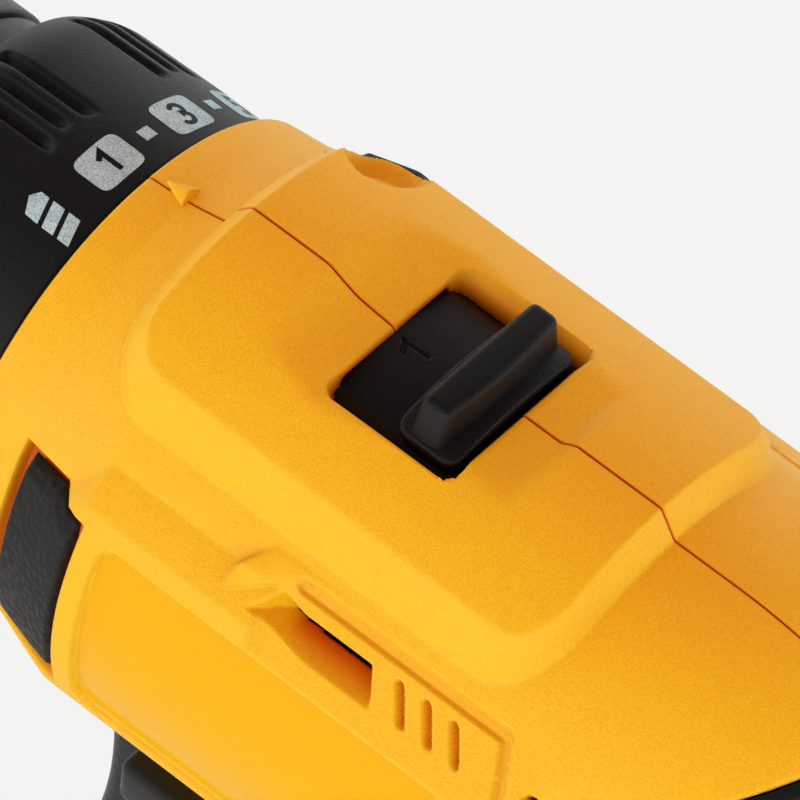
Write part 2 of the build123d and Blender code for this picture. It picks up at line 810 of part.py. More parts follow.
def ball_bearing():
    """Outer race, inner race and the balls between them."""
    span = bearing_span()
    mid_r = (BEARING_R + SPINDLE_R) / 2
    ball_r = (BEARING_R - SPINDLE_R) / 2 - BEARING_RACE + 0.6
    middle = (span[0] + span[1]) / 2
    track = revolve(
        Pos(middle, 0, AXIS_Z + mid_r) * Rot(90, 0, 0) * Circle(ball_r + RUN_GAP),
        Axis((0, 0, AXIS_Z), (1, 0, 0)),
    )
    outer = tube(BEARING_R, BEARING_R - BEARING_RACE, *span) - track
    inner = tube(SPINDLE_R + BEARING_RACE, SPINDLE_R, *span) - track
    ball = Pos(middle, 0, AXIS_Z + mid_r) * Sphere(ball_r)
    balls = [about_axis(ball, 360 / BEARING_BALLS * i) for i in range(BEARING_BALLS)]
    return outer, list(inner.solids()) + balls


def spindle():
    """The output shaft, with the last carrier at its back and the chuck thread at its front."""
    plate = stage_spans()[2][2]
    shaft = rod(SPINDLE_R, plate, CHUCK_REAR_X) + rod(THREAD_R, CHUCK_REAR_X, CHUCK_REAR_X + THREAD_LENGTH)
    bore = rod(CHUCK_SCREW_R + RUN_GAP, CHUCK_REAR_X, CHUCK_REAR_X + THREAD_LENGTH)
    return carrier_plate(2) + shaft - bore


def spindle_bush():
    """The sintered bush in the gear case's front wall."""
    wall = case_front_x()
    return tube(SPINDLE_R + BUSH_WALL, SPINDLE_R + RUN_GAP, wall, bearing_span()[0] - STAGE_GAP)


def clutch_span():
    """The clutch stack along the nose: washer start, spring start, nut start at the lowest torque."""
    washer = case_front_x() + CASE_FRONT_WALL
    spring = washer + WASHER_THICKNESS
    nut = COLLAR_FRONT_X - COLLAR_WALL - NUT_WIDTH - 1.6
    return washer, spring, nut


def clutch_washer():
    """The thrust washer between the clutch spring and the case."""
    washer, spring, _ = clutch_span()
    return tube(NUT_R, NOSE_R + EASY_GAP, washer, spring)


def clutch_spring():
    """The clutch's coil spring, closed rings joined by a wire helix."""
    _, start, nut = clutch_span()
    start += SPRING_WIRE_R
    end = nut - SPRING_WIRE_R
    path = Helix((end - start) / SPRING_TURNS, end - start, SPRING_R)
    wire = sweep(Plane(path @ 0, z_dir=path % 0) * Circle(SPRING_WIRE_R), path)
    return Pos(start, 0, AXIS_Z) * Rot(0, 90, 0) * wire


def clutch_nut():
    """The nut that presses the clutch spring, with lugs in the collar's slots."""
    start = clutch_span()[2]
    nut = tube(NUT_R, NOSE_R + RUN_GAP, start, start + NUT_WIDTH)
    for index in range(NUT_LUGS):
        lug = block(
            (start, start + NUT_WIDTH),
            (-NUT_LUG_WIDTH / 2, NUT_LUG_WIDTH / 2),
            (AXIS_Z + NUT_R - 1, AXIS_Z + NUT_R + NUT_LUG_HEIGHT),
        )
        nut += about_axis(lug, 360 / NUT_LUGS * index)
    return nut


def torque_collar():
    """The numbered torque collar with its grip grooves and inner slots."""
    rear = RIM_X + COLLAR_GAP
    front = COLLAR_FRONT_X
    band = rear + COLLAR_BAND
    edge = 1.0
    bore = NUT_R + EASY_GAP
    collar = turned(
        [
            (rear, bore),
            (rear, COLLAR_R - edge / 2),
            (rear + edge / 2, COLLAR_R),
            (band, COLLAR_R),
            (band + edge, COLLAR_GRIP_R),
            (front - edge, COLLAR_GRIP_R - edge / 2),
            (front, COLLAR_GRIP_R - 2 * edge),
            (front, NOSE_R + EASY_GAP),
            (front - COLLAR_WALL, NOSE_R + EASY_GAP),
            (front - COLLAR_WALL, bore),
        ]
    )
    slot_depth = NUT_R + NUT_LUG_HEIGHT + EASY_GAP
    for index in range(NUT_LUGS):
        slot = block(
            (rear - 1, front - COLLAR_WALL),
            (-NUT_LUG_WIDTH / 2 - EASY_GAP, NUT_LUG_WIDTH / 2 + EASY_GAP),
            (AXIS_Z, AXIS_Z + slot_depth),
        )
        collar -= about_axis(slot, 360 / NUT_LUGS * index)
    middle = (COLLAR_GROOVES - 1) / 2
    for group in range(COLLAR_GROOVE_SETS):
        for index in range(COLLAR_GROOVES):
            angle = 360 / COLLAR_GROOVE_SETS * group + (index - middle) * COLLAR_GROOVE_PITCH
            groove = rod(COLLAR_GROOVE_R, band + edge, front + 1, z=AXIS_Z + COLLAR_GRIP_R)
            collar -= about_axis(groove, angle)
    return collar


def collar_clip():
    """The retaining ring on the nose that keeps the collar on."""
    return tube(NOSE_R + 2.5, NOSE_R, COLLAR_FRONT_X + SEAT_GAP, COLLAR_FRONT_X + SEAT_GAP + 1.2)


def motor_span():
    """The motor can's rear and front face."""
    front = STAGE_1_X - MOUNT_THICKNESS
    return front - MOTOR_LENGTH, front


def motor_mount():
    """The plate between motor and gear case, with the first ring gear moulded on its front."""
    _, front = motor_span()
    plate = rod(CASE_R, front, STAGE_1_X) + ring_gear(*stage_spans()[0][:2])
    hole = MODULE * SUN_TEETH / 2 + ADDENDUM + EASY_GAP
    return plate - rod(hole, front, STAGE_1_X)


def motor_can():
    """The drawn steel motor can."""
    rear, front = motor_span()
    can = rod(MOTOR_R, rear, front) - rod(MOTOR_R - MOTOR_WALL, rear - 1, front - MOTOR_WALL)
    can -= rod(MODULE * SUN_TEETH / 2 + ADDENDUM + EASY_GAP, rear, front + 1)
    return can


def magnets():
    """The two arc magnets glued inside the can."""
    rear, front = motor_span()
    outer = MOTOR_R - MOTOR_WALL
    ring = tube(outer, outer - MAGNET_THICKNESS, rear + END_CAP_LENGTH + 2, front - MOTOR_WALL - 9)
    reach = 2 * MOTOR_R
    across = math.tan(math.radians(90 - MAGNET_HALF_ANGLE)) * reach
    corners = [(0, 0, AXIS_Z), (0, reach, AXIS_Z + across), (0, reach, AXIS_Z - across)]
    gap = make_face(Polyline(corners, close=True))
    right_gap = extrude(gap, amount=reach * 3, dir=(1, 0, 0), both=True)
    ring -= right_gap
    ring -= mirrored(right_gap)
    return list(ring.solids())


def rotor():
    """The slotted armature on its shaft, with the first sun gear cut on the front end."""
    rear, front = motor_span()
    start, end, _ = stage_spans()[0]
    core_x = (rear + END_CAP_LENGTH + 4, front - MOTOR_WALL - 10)
    core = rod(ROTOR_R, *core_x)
    for index in range(ROTOR_SLOTS):
        slot = block(
            core_x,
            (-ROTOR_SLOT_WIDTH / 2, ROTOR_SLOT_WIDTH / 2),
            (AXIS_Z + ROTOR_R / 2, AXIS_Z + 2 * ROTOR_R),
        )
        core -= about_axis(slot, 360 / ROTOR_SLOTS * index)
    shaft = rod(MOTOR_SHAFT_R, rear + MOTOR_WALL, start)
    commutator = rod(COMMUTATOR_R, rear + END_CAP_LENGTH - 5, core_x[0])
    return core + shaft + commutator + gear_bar(SUN_TEETH, start - STAGE_GAP, end)


def cooling_fan():
    """The plastic fan on the motor shaft, behind the can's front face."""
    _, front = motor_span()
    x1 = front - MOTOR_WALL - 1.5
    x0 = x1 - FAN_LENGTH
    fan = rod(ROTOR_R / 2, x0, x1) + rod(FAN_R - 1, x0, x0 + 1.2)
    for index in range(FAN_BLADES):
        blade = block((x0, x1), (-0.6, 0.6), (AXIS_Z + ROTOR_R / 3, AXIS_Z + FAN_R))
        fan += about_axis(blade, 360 / FAN_BLADES * index)
    return fan - rod(MOTOR_SHAFT_R, x0 - 1, x1 + 1)


def motor_end_cap():
    """The moulded end cap with brush guides and rear bearing seat."""
    rear, _ = motor_span()
    cap = rod(MOTOR_R - MOTOR_WALL, rear, rear + END_CAP_LENGTH)
    cap += rod(MOTOR_R / 3, rear - 3, rear)
    cap -= rod(COMMUTATOR_R + EASY_GAP, rear + 1, rear + END_CAP_LENGTH)
    cap -= rod(MOTOR_SHAFT_R + RUN_GAP, rear - 2, rear + 2)
    for brush in brush_boxes(SEAT_GAP):
        cap -= brush
    for screw in cover_screw_rods(SCREW_R + RUN_GAP):
        cap -= screw
    return cap


def brush_boxes(gap):
    """The two carbon brushes, grown by gap."""
    rear, _ = motor_span()
    middle = rear + END_CAP_LENGTH / 2 + 0.5
    half = BRUSH_SIZE / 2 + gap
    inner = COMMUTATOR_R + RUN_GAP
    outer = MOTOR_R - MOTOR_WALL - 2
    x = (middle - half, middle + half)
    z = (AXIS_Z - half, AXIS_Z + half)
    return [block(x, (inner, outer), z), block(x, (-outer, -inner), z)]


def selector_slider():
    """The gear selector: curved plate, thumb rib and the fork that drives the shift ring."""
    x = (behind_rim(SLIDER_REAR), behind_rim(SLIDER_FRONT))
    plate = tube(SLIDER_TOP_R, SLIDER_TOP_R - SLIDER_THICKNESS, *x)
    plate &= block(x, (-SLIDER_HALF_WIDTH, SLIDER_HALF_WIDTH), (AXIS_Z, AXIS_Z + 2 * BARREL_R))
    rib_x = (behind_rim(RIB_REAR), behind_rim(RIB_FRONT))
    middle = (rib_x[0] + rib_x[1]) / 2
    low = AXIS_Z + SLIDER_TOP_R - SLIDER_THICKNESS
    high = AXIS_Z + RIB_TOP_R
    base = (RIB_REAR - RIB_FRONT) / 2
    shoulder = low + 2 * SLIDER_THICKNESS + 1
    corners = [
        (middle - base, low),
        (middle + base, low),
        (middle + base, shoulder),
        (middle + RIB_TOP_LENGTH / 2, high),
        (middle - RIB_TOP_LENGTH / 2, high),
        (middle - base, shoulder),
    ]
    face = make_face(Polyline([(px, 0, pz) for px, pz in corners], close=True))
    rib = extrude(face, amount=RIB_HALF_WIDTH, dir=(0, 1, 0), both=True)
    rib &= rod(RIB_TOP_R, *rib_x)
    start, end = shift_ring_span()
    fork_mid = (start + end) / 2
    fork_half = SHIFT_GROOVE_WIDTH / 2 - EASY_GAP / 2
    fork = block(
        (fork_mid - fork_half, fork_mid + fork_half),
        (-FORK_HALF_WIDTH, FORK_HALF_WIDTH),
        (AXIS_Z + RING_R - SHIFT_GROOVE_DEPTH + SEAT_GAP, low + 0.5),
    )
    return plate + (rib - rod(low - AXIS_Z, *rib_x)) + fork


def trigger():
    """The variable-speed trigger with its finger scoop and plunger."""
    middle = (TRIGGER_BOTTOM_Z + TRIGGER_TOP_Z) / 2
    body = block(
        (TRIGGER_REAR_X, TRIGGER_FRONT_X),
        (-TRIGGER_HALF_WIDTH, TRIGGER_HALF_WIDTH),
        (TRIGGER_BOTTOM_Z, TRIGGER_TOP_Z),
    )
    front = body.faces().sort_by(Axis.X)[-1]
    body = fillet(front.edges() + body.edges().filter_by(Axis.X), TRIGGER_EDGE_R)
    scoop_x = TRIGGER_FRONT_X + TRIGGER_SCOOP_R - 3.0
    body -= cross_rod(TRIGGER_SCOOP_R, -2 * TRIGGER_HALF_WIDTH, 2 * TRIGGER_HALF_WIDTH, scoop_x, middle - 3)
    return body + rod(PLUNGER_R, SWITCH_FRONT_X - SWITCH_LENGTH / 4, TRIGGER_REAR_X, z=middle)


def trigger_spring():
    """The return spring between the trigger and the switch."""
    middle = (TRIGGER_BOTTOM_Z + TRIGGER_TOP_Z) / 2
    wire = 0.5
    length = TRIGGER_REAR_X - SWITCH_FRONT_X - 2 * wire
    path = Helix(length / 4, length, PLUNGER_R + 1.4)
    coil = sweep(Plane(path @ 0, z_dir=path % 0) * Circle(wire), path)
    return Pos(SWITCH_FRONT_X + wire, 0, middle) * Rot(0, 90, 0) * coil


def switch_module():
    """The speed switch that the trigger's plunger enters."""
    middle = (TRIGGER_BOTTOM_Z + TRIGGER_TOP_Z) / 2
    box = block(
        (SWITCH_FRONT_X - SWITCH_LENGTH, SWITCH_FRONT_X),
        (-SWITCH_HALF_WIDTH, SWITCH_HALF_WIDTH),
        (SWITCH_BOTTOM_Z, SWITCH_TOP_Z),
    )
    hole_end = SWITCH_FRONT_X - SWITCH_LENGTH / 4 - TRIGGER_TRAVEL - 1
    return box - rod(PLUNGER_R + RUN_GAP, hole_end, SWITCH_FRONT_X, z=middle)


def direction_lever():
    """The forward and reverse bar that slides across the housing."""
    bar = lever_box(0, LEVER_HALF_SPAN)
    bar = fillet(bar.edges().filter_by(Axis.X), LEVER_HEIGHT / 4)
    return bar


def work_light():
    """The clear domed lens of the work light."""
    z = AXIS_Z - LED_DROP
    face_x = behind_rim(RIM_BAND)
    dome = Pos(face_x, 0, z) * Sphere(LED_R)
    dome &= block((face_x, face_x + 2 * LED_R), (-2 * LED_R, 2 * LED_R), (z - 2 * LED_R, z + 2 * LED_R))
    return rod(LED_R, behind_rim(LED_LENGTH), face_x, z=z) + dome


def pack_form(inset):
    """The battery pack's rounded outer form, taken in by inset."""
    half = PACK_LENGTH / 2 - inset
    z = (inset, PACK_TOP_Z - inset)
    form = rounded_plate((-half, half), PACK_HALF_WIDTH - inset, z, PACK_CORNER_R - inset)
    ends = form.faces().sort_by(Axis.Z)
    return fillet(ends[0].edges() + ends[-1].edges(), max(PACK_EDGE_R - inset, 0.4))


def button_box(gap, travel):
    """The battery release button's block, grown by gap and lowered by travel."""
    front = PACK_LENGTH / 2
    top = PACK_TOP_Z - BUTTON_DROP
    return block(
        (front - BUTTON_DEPTH - gap, front + BUTTON_PROUD),
        (-BUTTON_HALF_WIDTH - gap, BUTTON_HALF_WIDTH + gap),
        (top - BUTTON_HEIGHT - gap - travel, top + gap),
    )


def battery_cases():
    """The battery's lower tray and upper cover with its rails."""
    reach = PACK_LENGTH
    shell = pack_form(0) - pack_form(PACK_WALL)
    lower = shell & block((-reach, reach), (-reach, reach), (0, PACK_SPLIT_Z))
    upper = shell & block((-reach, reach), (-reach, reach), (PACK_SPLIT_Z, PACK_TOP_Z))
    rails_x = (RAIL_REAR_X, RAIL_FRONT_X)
    neck = block(rails_x, (-NECK_HALF_WIDTH, NECK_HALF_WIDTH), (PACK_TOP_Z - PACK_WALL, RAIL_TOP_Z))
    wide = block(rails_x, (-RAIL_HALF_WIDTH, RAIL_HALF_WIDTH), (NECK_TOP_Z, RAIL_TOP_Z))
    terminal = block(
        (RAIL_REAR_X - 1, RAIL_REAR_X + 22),
        (-NECK_HALF_WIDTH + PACK_WALL, NECK_HALF_WIDTH - PACK_WALL),
        (PACK_TOP_Z - PACK_WALL - 1, RAIL_TOP_Z - PACK_WALL),
    )
    room = block(
        (RAIL_REAR_X + 24, RAIL_FRONT_X - PACK_WALL),
        (-NECK_HALF_WIDTH + PACK_WALL, NECK_HALF_WIDTH - PACK_WALL),
        (PACK_TOP_Z - PACK_WALL - 1, RAIL_TOP_Z - PACK_WALL),
    )
    upper = upper + neck + wide - terminal - room - button_box(EASY_GAP, BUTTON_TRAVEL)
    inside = pack_form(PACK_WALL / 2)
    for x, y in pack_screw_places():
        wide_boss = upright_rod(SCREW_HEAD_R + 1.2, 0, PACK_WALL + SCREW_HEAD_HEIGHT, x, y)
        lower += (wide_boss + upright_rod(SCREW_R + 0.9, 0, PACK_SPLIT_Z, x, y)) & inside
        upper += upright_rod(SCREW_R + 0.9, PACK_SPLIT_Z, PACK_TOP_Z, x, y) & inside
        hole = upright_rod(SCREW_R + RUN_GAP, 0, PACK_SCREW_DEPTH + 1, x, y)
        lower -= hole + upright_rod(SCREW_HEAD_R + SEAT_GAP, 0, PACK_WALL, x, y)
        upper -= hole
    return lower, upper


def release_button():
    """The battery release button at the pack's front."""
    button = button_box(0, 0)
    return fillet(button.faces().sort_by(Axis.X)[-1].edges(), 1.2)


def battery_cells():
    """The row of cells, lying across the pack."""
    first = -(CELL_COUNT - 1) / 2 * CELL_PITCH
    half = CELL_LENGTH / 2
    return [cross_rod(CELL_R, -half, half, first + i * CELL_PITCH, CELL_Z) for i in range(CELL_COUNT)]


def cell_holders():
    """The two moulded frames that hold the cells' ends."""
    length = CELL_COUNT * CELL_PITCH + 1
    thickness = 6.0
    top = CELL_Z + CELL_R + 1.5
    holders = []
    for side in (1, -1):
        edge = side * (CELL_LENGTH / 2 - thickness - 1)
        inner, outer = sorted((edge, edge + side * thickness))
        frame = block((-length / 2, length / 2), (inner, outer), (PACK_WALL + SEAT_GAP, top))
        for index in range(CELL_COUNT):
            x = (index - (CELL_COUNT - 1) / 2) * CELL_PITCH
            frame -= cross_rod(CELL_R + RUN_GAP, inner - 1, outer + 1, x, CELL_Z)
        holders += list(frame.solids())
    return holders


def battery_board():
    """The charge control board above the cells."""
    half = CELL_COUNT * CELL_PITCH * 0.4
    return block((-half, half), (-NECK_HALF_WIDTH, NECK_HALF_WIDTH), (BOARD_Z, BOARD_Z + BOARD_THICKNESS))


def battery_contacts():
    """The sprung contact blades in the battery's terminal slot."""
    base = BOARD_Z + BOARD_THICKNESS
    top = RAIL_TOP_Z - PACK_WALL - 1.5
    x = (RAIL_REAR_X + 6, RAIL_REAR_X + 18)
    return [block(x, (y - 0.5, y + 0.5), (base, top)) for y in contact_rows()]


def pack_screw_places():
    """Where the battery's screws stand, beside the end cells."""
    cells_end = (CELL_COUNT - 1) / 2 * CELL_PITCH + CELL_R
    x = cells_end + SCREW_R + 0.9 + SEAT_GAP
    return [(side * x, y) for side in (1, -1) for y in (PACK_SCREW_Y, -PACK_SCREW_Y)]


def battery_screws():
    """The screws that join the battery's tray to its cover, with heads sunk in the base."""
    solids = []
    for x, y in pack_screw_places():
        head_z = PACK_WALL - SCREW_HEAD_HEIGHT
        head = upright_rod(SCREW_HEAD_R, head_z, PACK_WALL, x, y)
        shank = upright_rod(SCREW_R, PACK_WALL, PACK_SCREW_DEPTH, x, y)
        slot = Pos(x, y, head_z) * Box(SCREW_HEAD_R * 1.4, SCREW_HEAD_R / 4, SCREW_HEAD_HEIGHT)
        solids.append(head + shank - slot)
    return solids


def contact_rows():
    """The y of each contact across the terminal slot."""
    return [side * NECK_HALF_WIDTH * share for side in (-1, 1) for share in (0.2, 0.6)]


def tool_terminals():
    """The tool's terminal block, with one blade beside each battery contact."""
    rear = RAIL_REAR_X - SLIDE_GAP
    top = RAIL_TOP_Z - PACK_WALL - EASY_GAP
    base = block((rear, rear + 3.5), (-0.8 * NECK_HALF_WIDTH, 0.8 * NECK_HALF_WIDTH), (PACK_TOP_Z + 1.4, top))
    for y in contact_rows():
        base += block((rear + 3, rear + 16), (y + 0.7, y + 1.5), (PACK_TOP_Z + 3, top - 1))
    return base


def jaw_axis_at(x):
    """Radius of a jaw's centre line at x, in the rest opening."""
    tip = CHUCK_REAR_X + CHUCK_LENGTH + JAW_PROUD
    return JAW_TIP_OFFSET + (tip - x) * math.tan(math.radians(JAW_ANGLE))


def jaw_rod(radius, back, front):
    """A bar along one jaw's slanted line: back and front are distances along it from the tip."""
    tip = CHUCK_REAR_X + CHUCK_LENGTH + JAW_PROUD
    length = back + front
    middle = (front - back) / 2
    bar = Pos(0, 0, middle) * Cylinder(radius, length)
    return Pos(tip, 0, AXIS_Z + JAW_TIP_OFFSET) * Rot(0, 90 + JAW_ANGLE, 0) * bar


def jaws():
    """The three gripping jaws, open to a quarter-inch shank."""
    tip = CHUCK_REAR_X + CHUCK_LENGTH + JAW_PROUD
    bar = jaw_rod(JAW_R, JAW_LENGTH, JAW_LENGTH / 4)
    bar &= block((0, tip), (-99, 99), (0, 300))
    bar -= rod(GRIP_R, 0, tip + 1)
    reach = 6 * JAW_R
    apex = (0, 0, AXIS_Z + JAW_CLOSE)
    spread = reach * math.sqrt(3)
    corners = [apex, (0, spread, AXIS_Z + JAW_CLOSE + reach), (0, -spread, AXIS_Z + JAW_CLOSE + reach)]
    sector = extrude(make_face(Polyline(corners, close=True)), amount=3 * tip, dir=(1, 0, 0), both=True)
    bar &= sector
    return [about_axis(bar, 360 / JAWS * index) for index in range(JAWS)]


def chuck_body():
    """The chuck's steel body with slanted jaw bores and the spindle thread."""
    rear = CHUCK_REAR_X
    front = rear + CHUCK_LENGTH
    body = turned(
        [
            (rear, 0),
            (rear, CHUCK_REAR_R),
            (rear + CHUCK_NUT_REAR - 4, CHUCK_REAR_R),
            (rear + CHUCK_NUT_REAR - 4, CHUCK_BODY_R),
            (front - 8, CHUCK_BODY_R),
            (front - 1, CHUCK_NOSE_R),
            (front, CHUCK_NOSE_R - 1),
            (front, 0),
        ]
    )
    body -= rod(THREAD_R, rear, rear + THREAD_LENGTH + 1)
    floor = rear + THREAD_LENGTH + 1
    body -= rod(CHUCK_SCREW_R + RUN_GAP, floor, floor + CHUCK_FLOOR)
    body -= rod(JAW_R * 1.8, floor + CHUCK_FLOOR, front)
    for index in range(JAWS):
        body -= about_axis(jaw_rod(JAW_R + RUN_GAP, JAW_LENGTH + JAW_ROOM, JAW_LENGTH), 360 / JAWS * index)
    return body


def chuck_nut():
    """The ring nut that drives the jaws, bored to a cone."""
    rear = CHUCK_REAR_X + CHUCK_NUT_REAR
    front = rear + CHUCK_NUT_LENGTH
    clear = JAW_R / math.cos(math.radians(JAW_ANGLE)) + EASY_GAP
    return turned(
        [
            (rear, jaw_axis_at(rear) + clear),
            (rear, SLEEVE_BORE_R),
            (front, SLEEVE_BORE_R),
            (front, jaw_axis_at(front) + clear),
        ]
    )


def chuck_sleeve():
    """The ribbed hand sleeve that opens and closes the jaws."""
    rear = CHUCK_REAR_X + CHUCK_RING_LENGTH + EASY_GAP
    straight = rear + SLEEVE_STRAIGHT
    front = CHUCK_REAR_X + CHUCK_LENGTH - 4
    bore_end = CHUCK_REAR_X + CHUCK_NUT_REAR + CHUCK_NUT_LENGTH
    sleeve = turned(
        [
            (rear, SLEEVE_BORE_R),
            (rear, SLEEVE_R - 0.8),
            (rear + 0.8, SLEEVE_R),
            (straight, SLEEVE_R),
            (front - 1, SLEEVE_FRONT_R),
            (front, SLEEVE_FRONT_R - 1),
            (front, CHUCK_BODY_R + EASY_GAP),
            (bore_end, CHUCK_BODY_R + EASY_GAP),
            (bore_end, SLEEVE_BORE_R),
        ]
    )
    for index in range(SLEEVE_RIBS):
        groove = rod(0.9, rear + 3, straight - 1, z=AXIS_Z + SLEEVE_R + 0.2)
        sleeve -= about_axis(groove, 360 / SLEEVE_RIBS * index)
    return sleeve


def chuck_ring():
    """The fixed ring behind the sleeve."""
    rear = CHUCK_REAR_X
    return tube(CHUCK_RING_R, CHUCK_REAR_R, rear, rear + CHUCK_RING_LENGTH)


def chuck_screw():
    """The left-handed screw that locks the chuck on the spindle."""
    floor = CHUCK_REAR_X + THREAD_LENGTH + 1 + CHUCK_FLOOR
    shank = rod(CHUCK_SCREW_R, CHUCK_REAR_X + THREAD_LENGTH / 3, floor)
    return shank + rod(THREAD_R - 2, floor, floor + 3)


def main():
    parts = {}
    parts["left_housing"], parts["right_housing"] = housing_pair()
    parts["rear_cover"] = rear_cover()
    parts["rear_cover_screws"] = cover_screws()
    parts["rubber_pads"] = pad_pair()
    parts["handle_grips"] = grip_pair()
    parts["housing_screws"] = housing_screws()
    parts["gear_case"] = gear_case()
    parts["front_ring_gear"] = ring_gear(stage_spans()[2][0], stage_spans()[2][1])
    parts["shift_ring_gear"] = shift_ring()
    for stage, label in enumerate(("first", "second", "third")):
        for index, gear in enumerate(planets(stage)):
            parts[f"{label}_planet_{index + 1}"] = gear
    parts["first_carrier"] = carrier(0)
    parts["second_carrier"] = carrier(1)
    parts["spindle"] = spindle()
    parts["spindle_bush"] = spindle_bush()
    parts["bearing_outer_race"], parts["bearing_inner_and_balls"] = ball_bearing()
    parts["clutch_washer"] = clutch_washer()
    parts["clutch_spring"] = clutch_spring()
    parts["clutch_nut"] = clutch_nut()
    parts["torque_collar"] = torque_collar()
    parts["collar_clip"] = collar_clip()
    parts["motor_mount"] = motor_mount()
    parts["motor_can"] = motor_can()
    parts["motor_magnets"] = magnets()
    parts["motor_rotor"] = rotor()
    parts["cooling_fan"] = cooling_fan()
    parts["motor_end_cap"] = motor_end_cap()
    parts["motor_brushes"] = brush_boxes(0)
    parts["gear_selector"] = selector_slider()
    parts["trigger"] = trigger()
    parts["trigger_spring"] = trigger_spring()
    parts["speed_switch"] = switch_module()
    parts["direction_lever"] = direction_lever()
    parts["work_light"] = work_light()
    parts["battery_tray"], parts["battery_cover"] = battery_cases()
    parts["battery_release"] = release_button()
    parts["battery_cells"] = battery_cells()
    parts["cell_holders"] = cell_holders()
    parts["battery_board"] = battery_board()
    parts["battery_contacts"] = battery_contacts()
    parts["battery_screws"] = battery_screws()
    parts["tool_terminals"] = tool_terminals()
    parts["chuck_body"] = chuck_body()
    parts["chuck_ring"] = chuck_ring()
    parts["chuck_sleeve"] = chuck_sleeve()
    parts["chuck_nut"] = chuck_nut()
    parts["chuck_screw"] = chuck_screw()
    for index, jaw in enumerate(jaws()):
        parts[f"jaw_{index + 1}"] = jaw
    os.makedirs("parts", exist_ok=True)
    for name, shape in parts.items():
        solids = shape if isinstance(shape, list) else shape.solids()
        export_step(Compound(list(solids)), f"parts/{name}.step")


main()
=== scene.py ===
"""Dresses the cordless drill: moulded housing skins, printed torque collar, grips, pack and finishes.

Sizes are in millimetres until a vertex is placed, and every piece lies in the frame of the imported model.
On the barrel, "back" is the distance behind the rim's front face, and "turn" is the angle from the top
towards a side, in degrees.
"""

import json
import logging
import math
from dataclasses import dataclass
from enum import Enum
from functools import cache
from typing import Callable

import bmesh
import bpy
from mathutils import Matrix, Vector


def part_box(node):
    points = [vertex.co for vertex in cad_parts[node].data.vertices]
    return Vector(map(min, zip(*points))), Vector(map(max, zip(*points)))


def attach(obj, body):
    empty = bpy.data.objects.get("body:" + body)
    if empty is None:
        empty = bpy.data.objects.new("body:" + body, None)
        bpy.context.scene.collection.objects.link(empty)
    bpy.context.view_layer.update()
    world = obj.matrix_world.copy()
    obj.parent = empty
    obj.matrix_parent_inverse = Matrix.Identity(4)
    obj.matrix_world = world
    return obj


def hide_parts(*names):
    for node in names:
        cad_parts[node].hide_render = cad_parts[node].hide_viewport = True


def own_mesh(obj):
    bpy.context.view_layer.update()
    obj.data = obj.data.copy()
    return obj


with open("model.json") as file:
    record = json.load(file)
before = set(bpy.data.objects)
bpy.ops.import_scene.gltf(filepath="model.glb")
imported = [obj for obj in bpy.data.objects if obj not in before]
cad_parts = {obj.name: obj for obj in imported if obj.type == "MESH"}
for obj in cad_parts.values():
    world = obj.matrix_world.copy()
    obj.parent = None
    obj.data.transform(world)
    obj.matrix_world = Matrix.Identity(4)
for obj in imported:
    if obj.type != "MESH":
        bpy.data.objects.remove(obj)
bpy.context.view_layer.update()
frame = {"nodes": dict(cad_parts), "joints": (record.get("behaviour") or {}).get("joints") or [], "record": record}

MM = 0.001
# Gap between the housing's rim and the torque collar.
COLLAR_GAP = 0.4
# Middle of the handle in x.
HANDLE_X = -3.0
# Mean of the noise textures, and the span that most of their values lie in.
NOISE_MIDDLE = 0.46
NOISE_SPAN = (0.3, 0.7)
# Grid lines past this number are shares of the housing's tongue.
TONGUE_LINES = 1000.0
# Each spring's node, the joint that presses it, its fixed end in x and how far it shortens.
SPRINGS = (("clutch_spring", "clutch_nut_slide", 30.2, 3.7), ("trigger_spring", "trigger_pull", 5.5, 7.0))
AXIS_Z = next(j for j in frame["joints"] if j["name"] == "rotor_spin")["pos_m"][2] / MM
RIM_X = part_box("torque_collar")[0][0] / MM - COLLAR_GAP

log = logging.getLogger("drill")

Span = tuple[float, float]
Triple = tuple[float, float, float]
Quad = tuple[float, float, float, float]
Colour = Triple
Line = list[Span]
Mesh = bmesh.types.BMesh
Piece = bpy.types.Object
Material = bpy.types.Material
Socket = bpy.types.NodeSocket
Place = Callable[[float, float], Vector]


class Side(Enum):
    """The two halves of the clamshell."""

    LEFT = 1
    RIGHT = -1


def ease(value: float, low: float, high: float) -> float:
    """Smooth step from 0 at low to 1 at high."""
    share = min(1.0, max(0.0, (value - low) / (high - low)))
    return share * share * (3.0 - 2.0 * share)


def ramp(value: float, low: float, high: float) -> float:
    """Straight step from 0 at low to 1 at high."""
    return min(1.0, max(0.0, (value - low) / (high - low)))


def chamfer(value: float, low: float, high: float, soft: float) -> float:
    """Straight step from 0 at low to 1 at high, with its two bends rounded over a length."""
    shifts = (-1.0, -0.6, -0.2, 0.2, 0.6, 1.0)
    return sum(ramp(value + soft * shift, low, high) for shift in shifts) / len(shifts)


def wall_place(value: float, wall: Span) -> float:
    """Place on a wall: 1 at its foot, 0 at its other edge and negative past that."""
    foot, edge = wall
    return (edge - value) / (edge - foot)


def rounded(across: float, along: float, corner: float) -> float:
    """Joins the distances to two edges into one, with a rounded corner."""
    dx, dy = across + corner, along + corner
    return math.hypot(max(dx, 0.0), max(dy, 0.0)) + min(max(dx, dy), 0.0) - corner


def box_distance(across: float, along: float, half_across: float, half_along: float, corner: float) -> float:
    """Signed distance to a rounded rectangle about zero, negative inside.

    Args:
        across: Place across the rectangle.
        along: Place along the rectangle.
        half_across: Half its size across.
        half_along: Half its size along.
        corner: Its corner radius.

    Returns:
        The distance, in the same unit.
    """
    return rounded(abs(across) - half_across, abs(along) - half_along, corner)


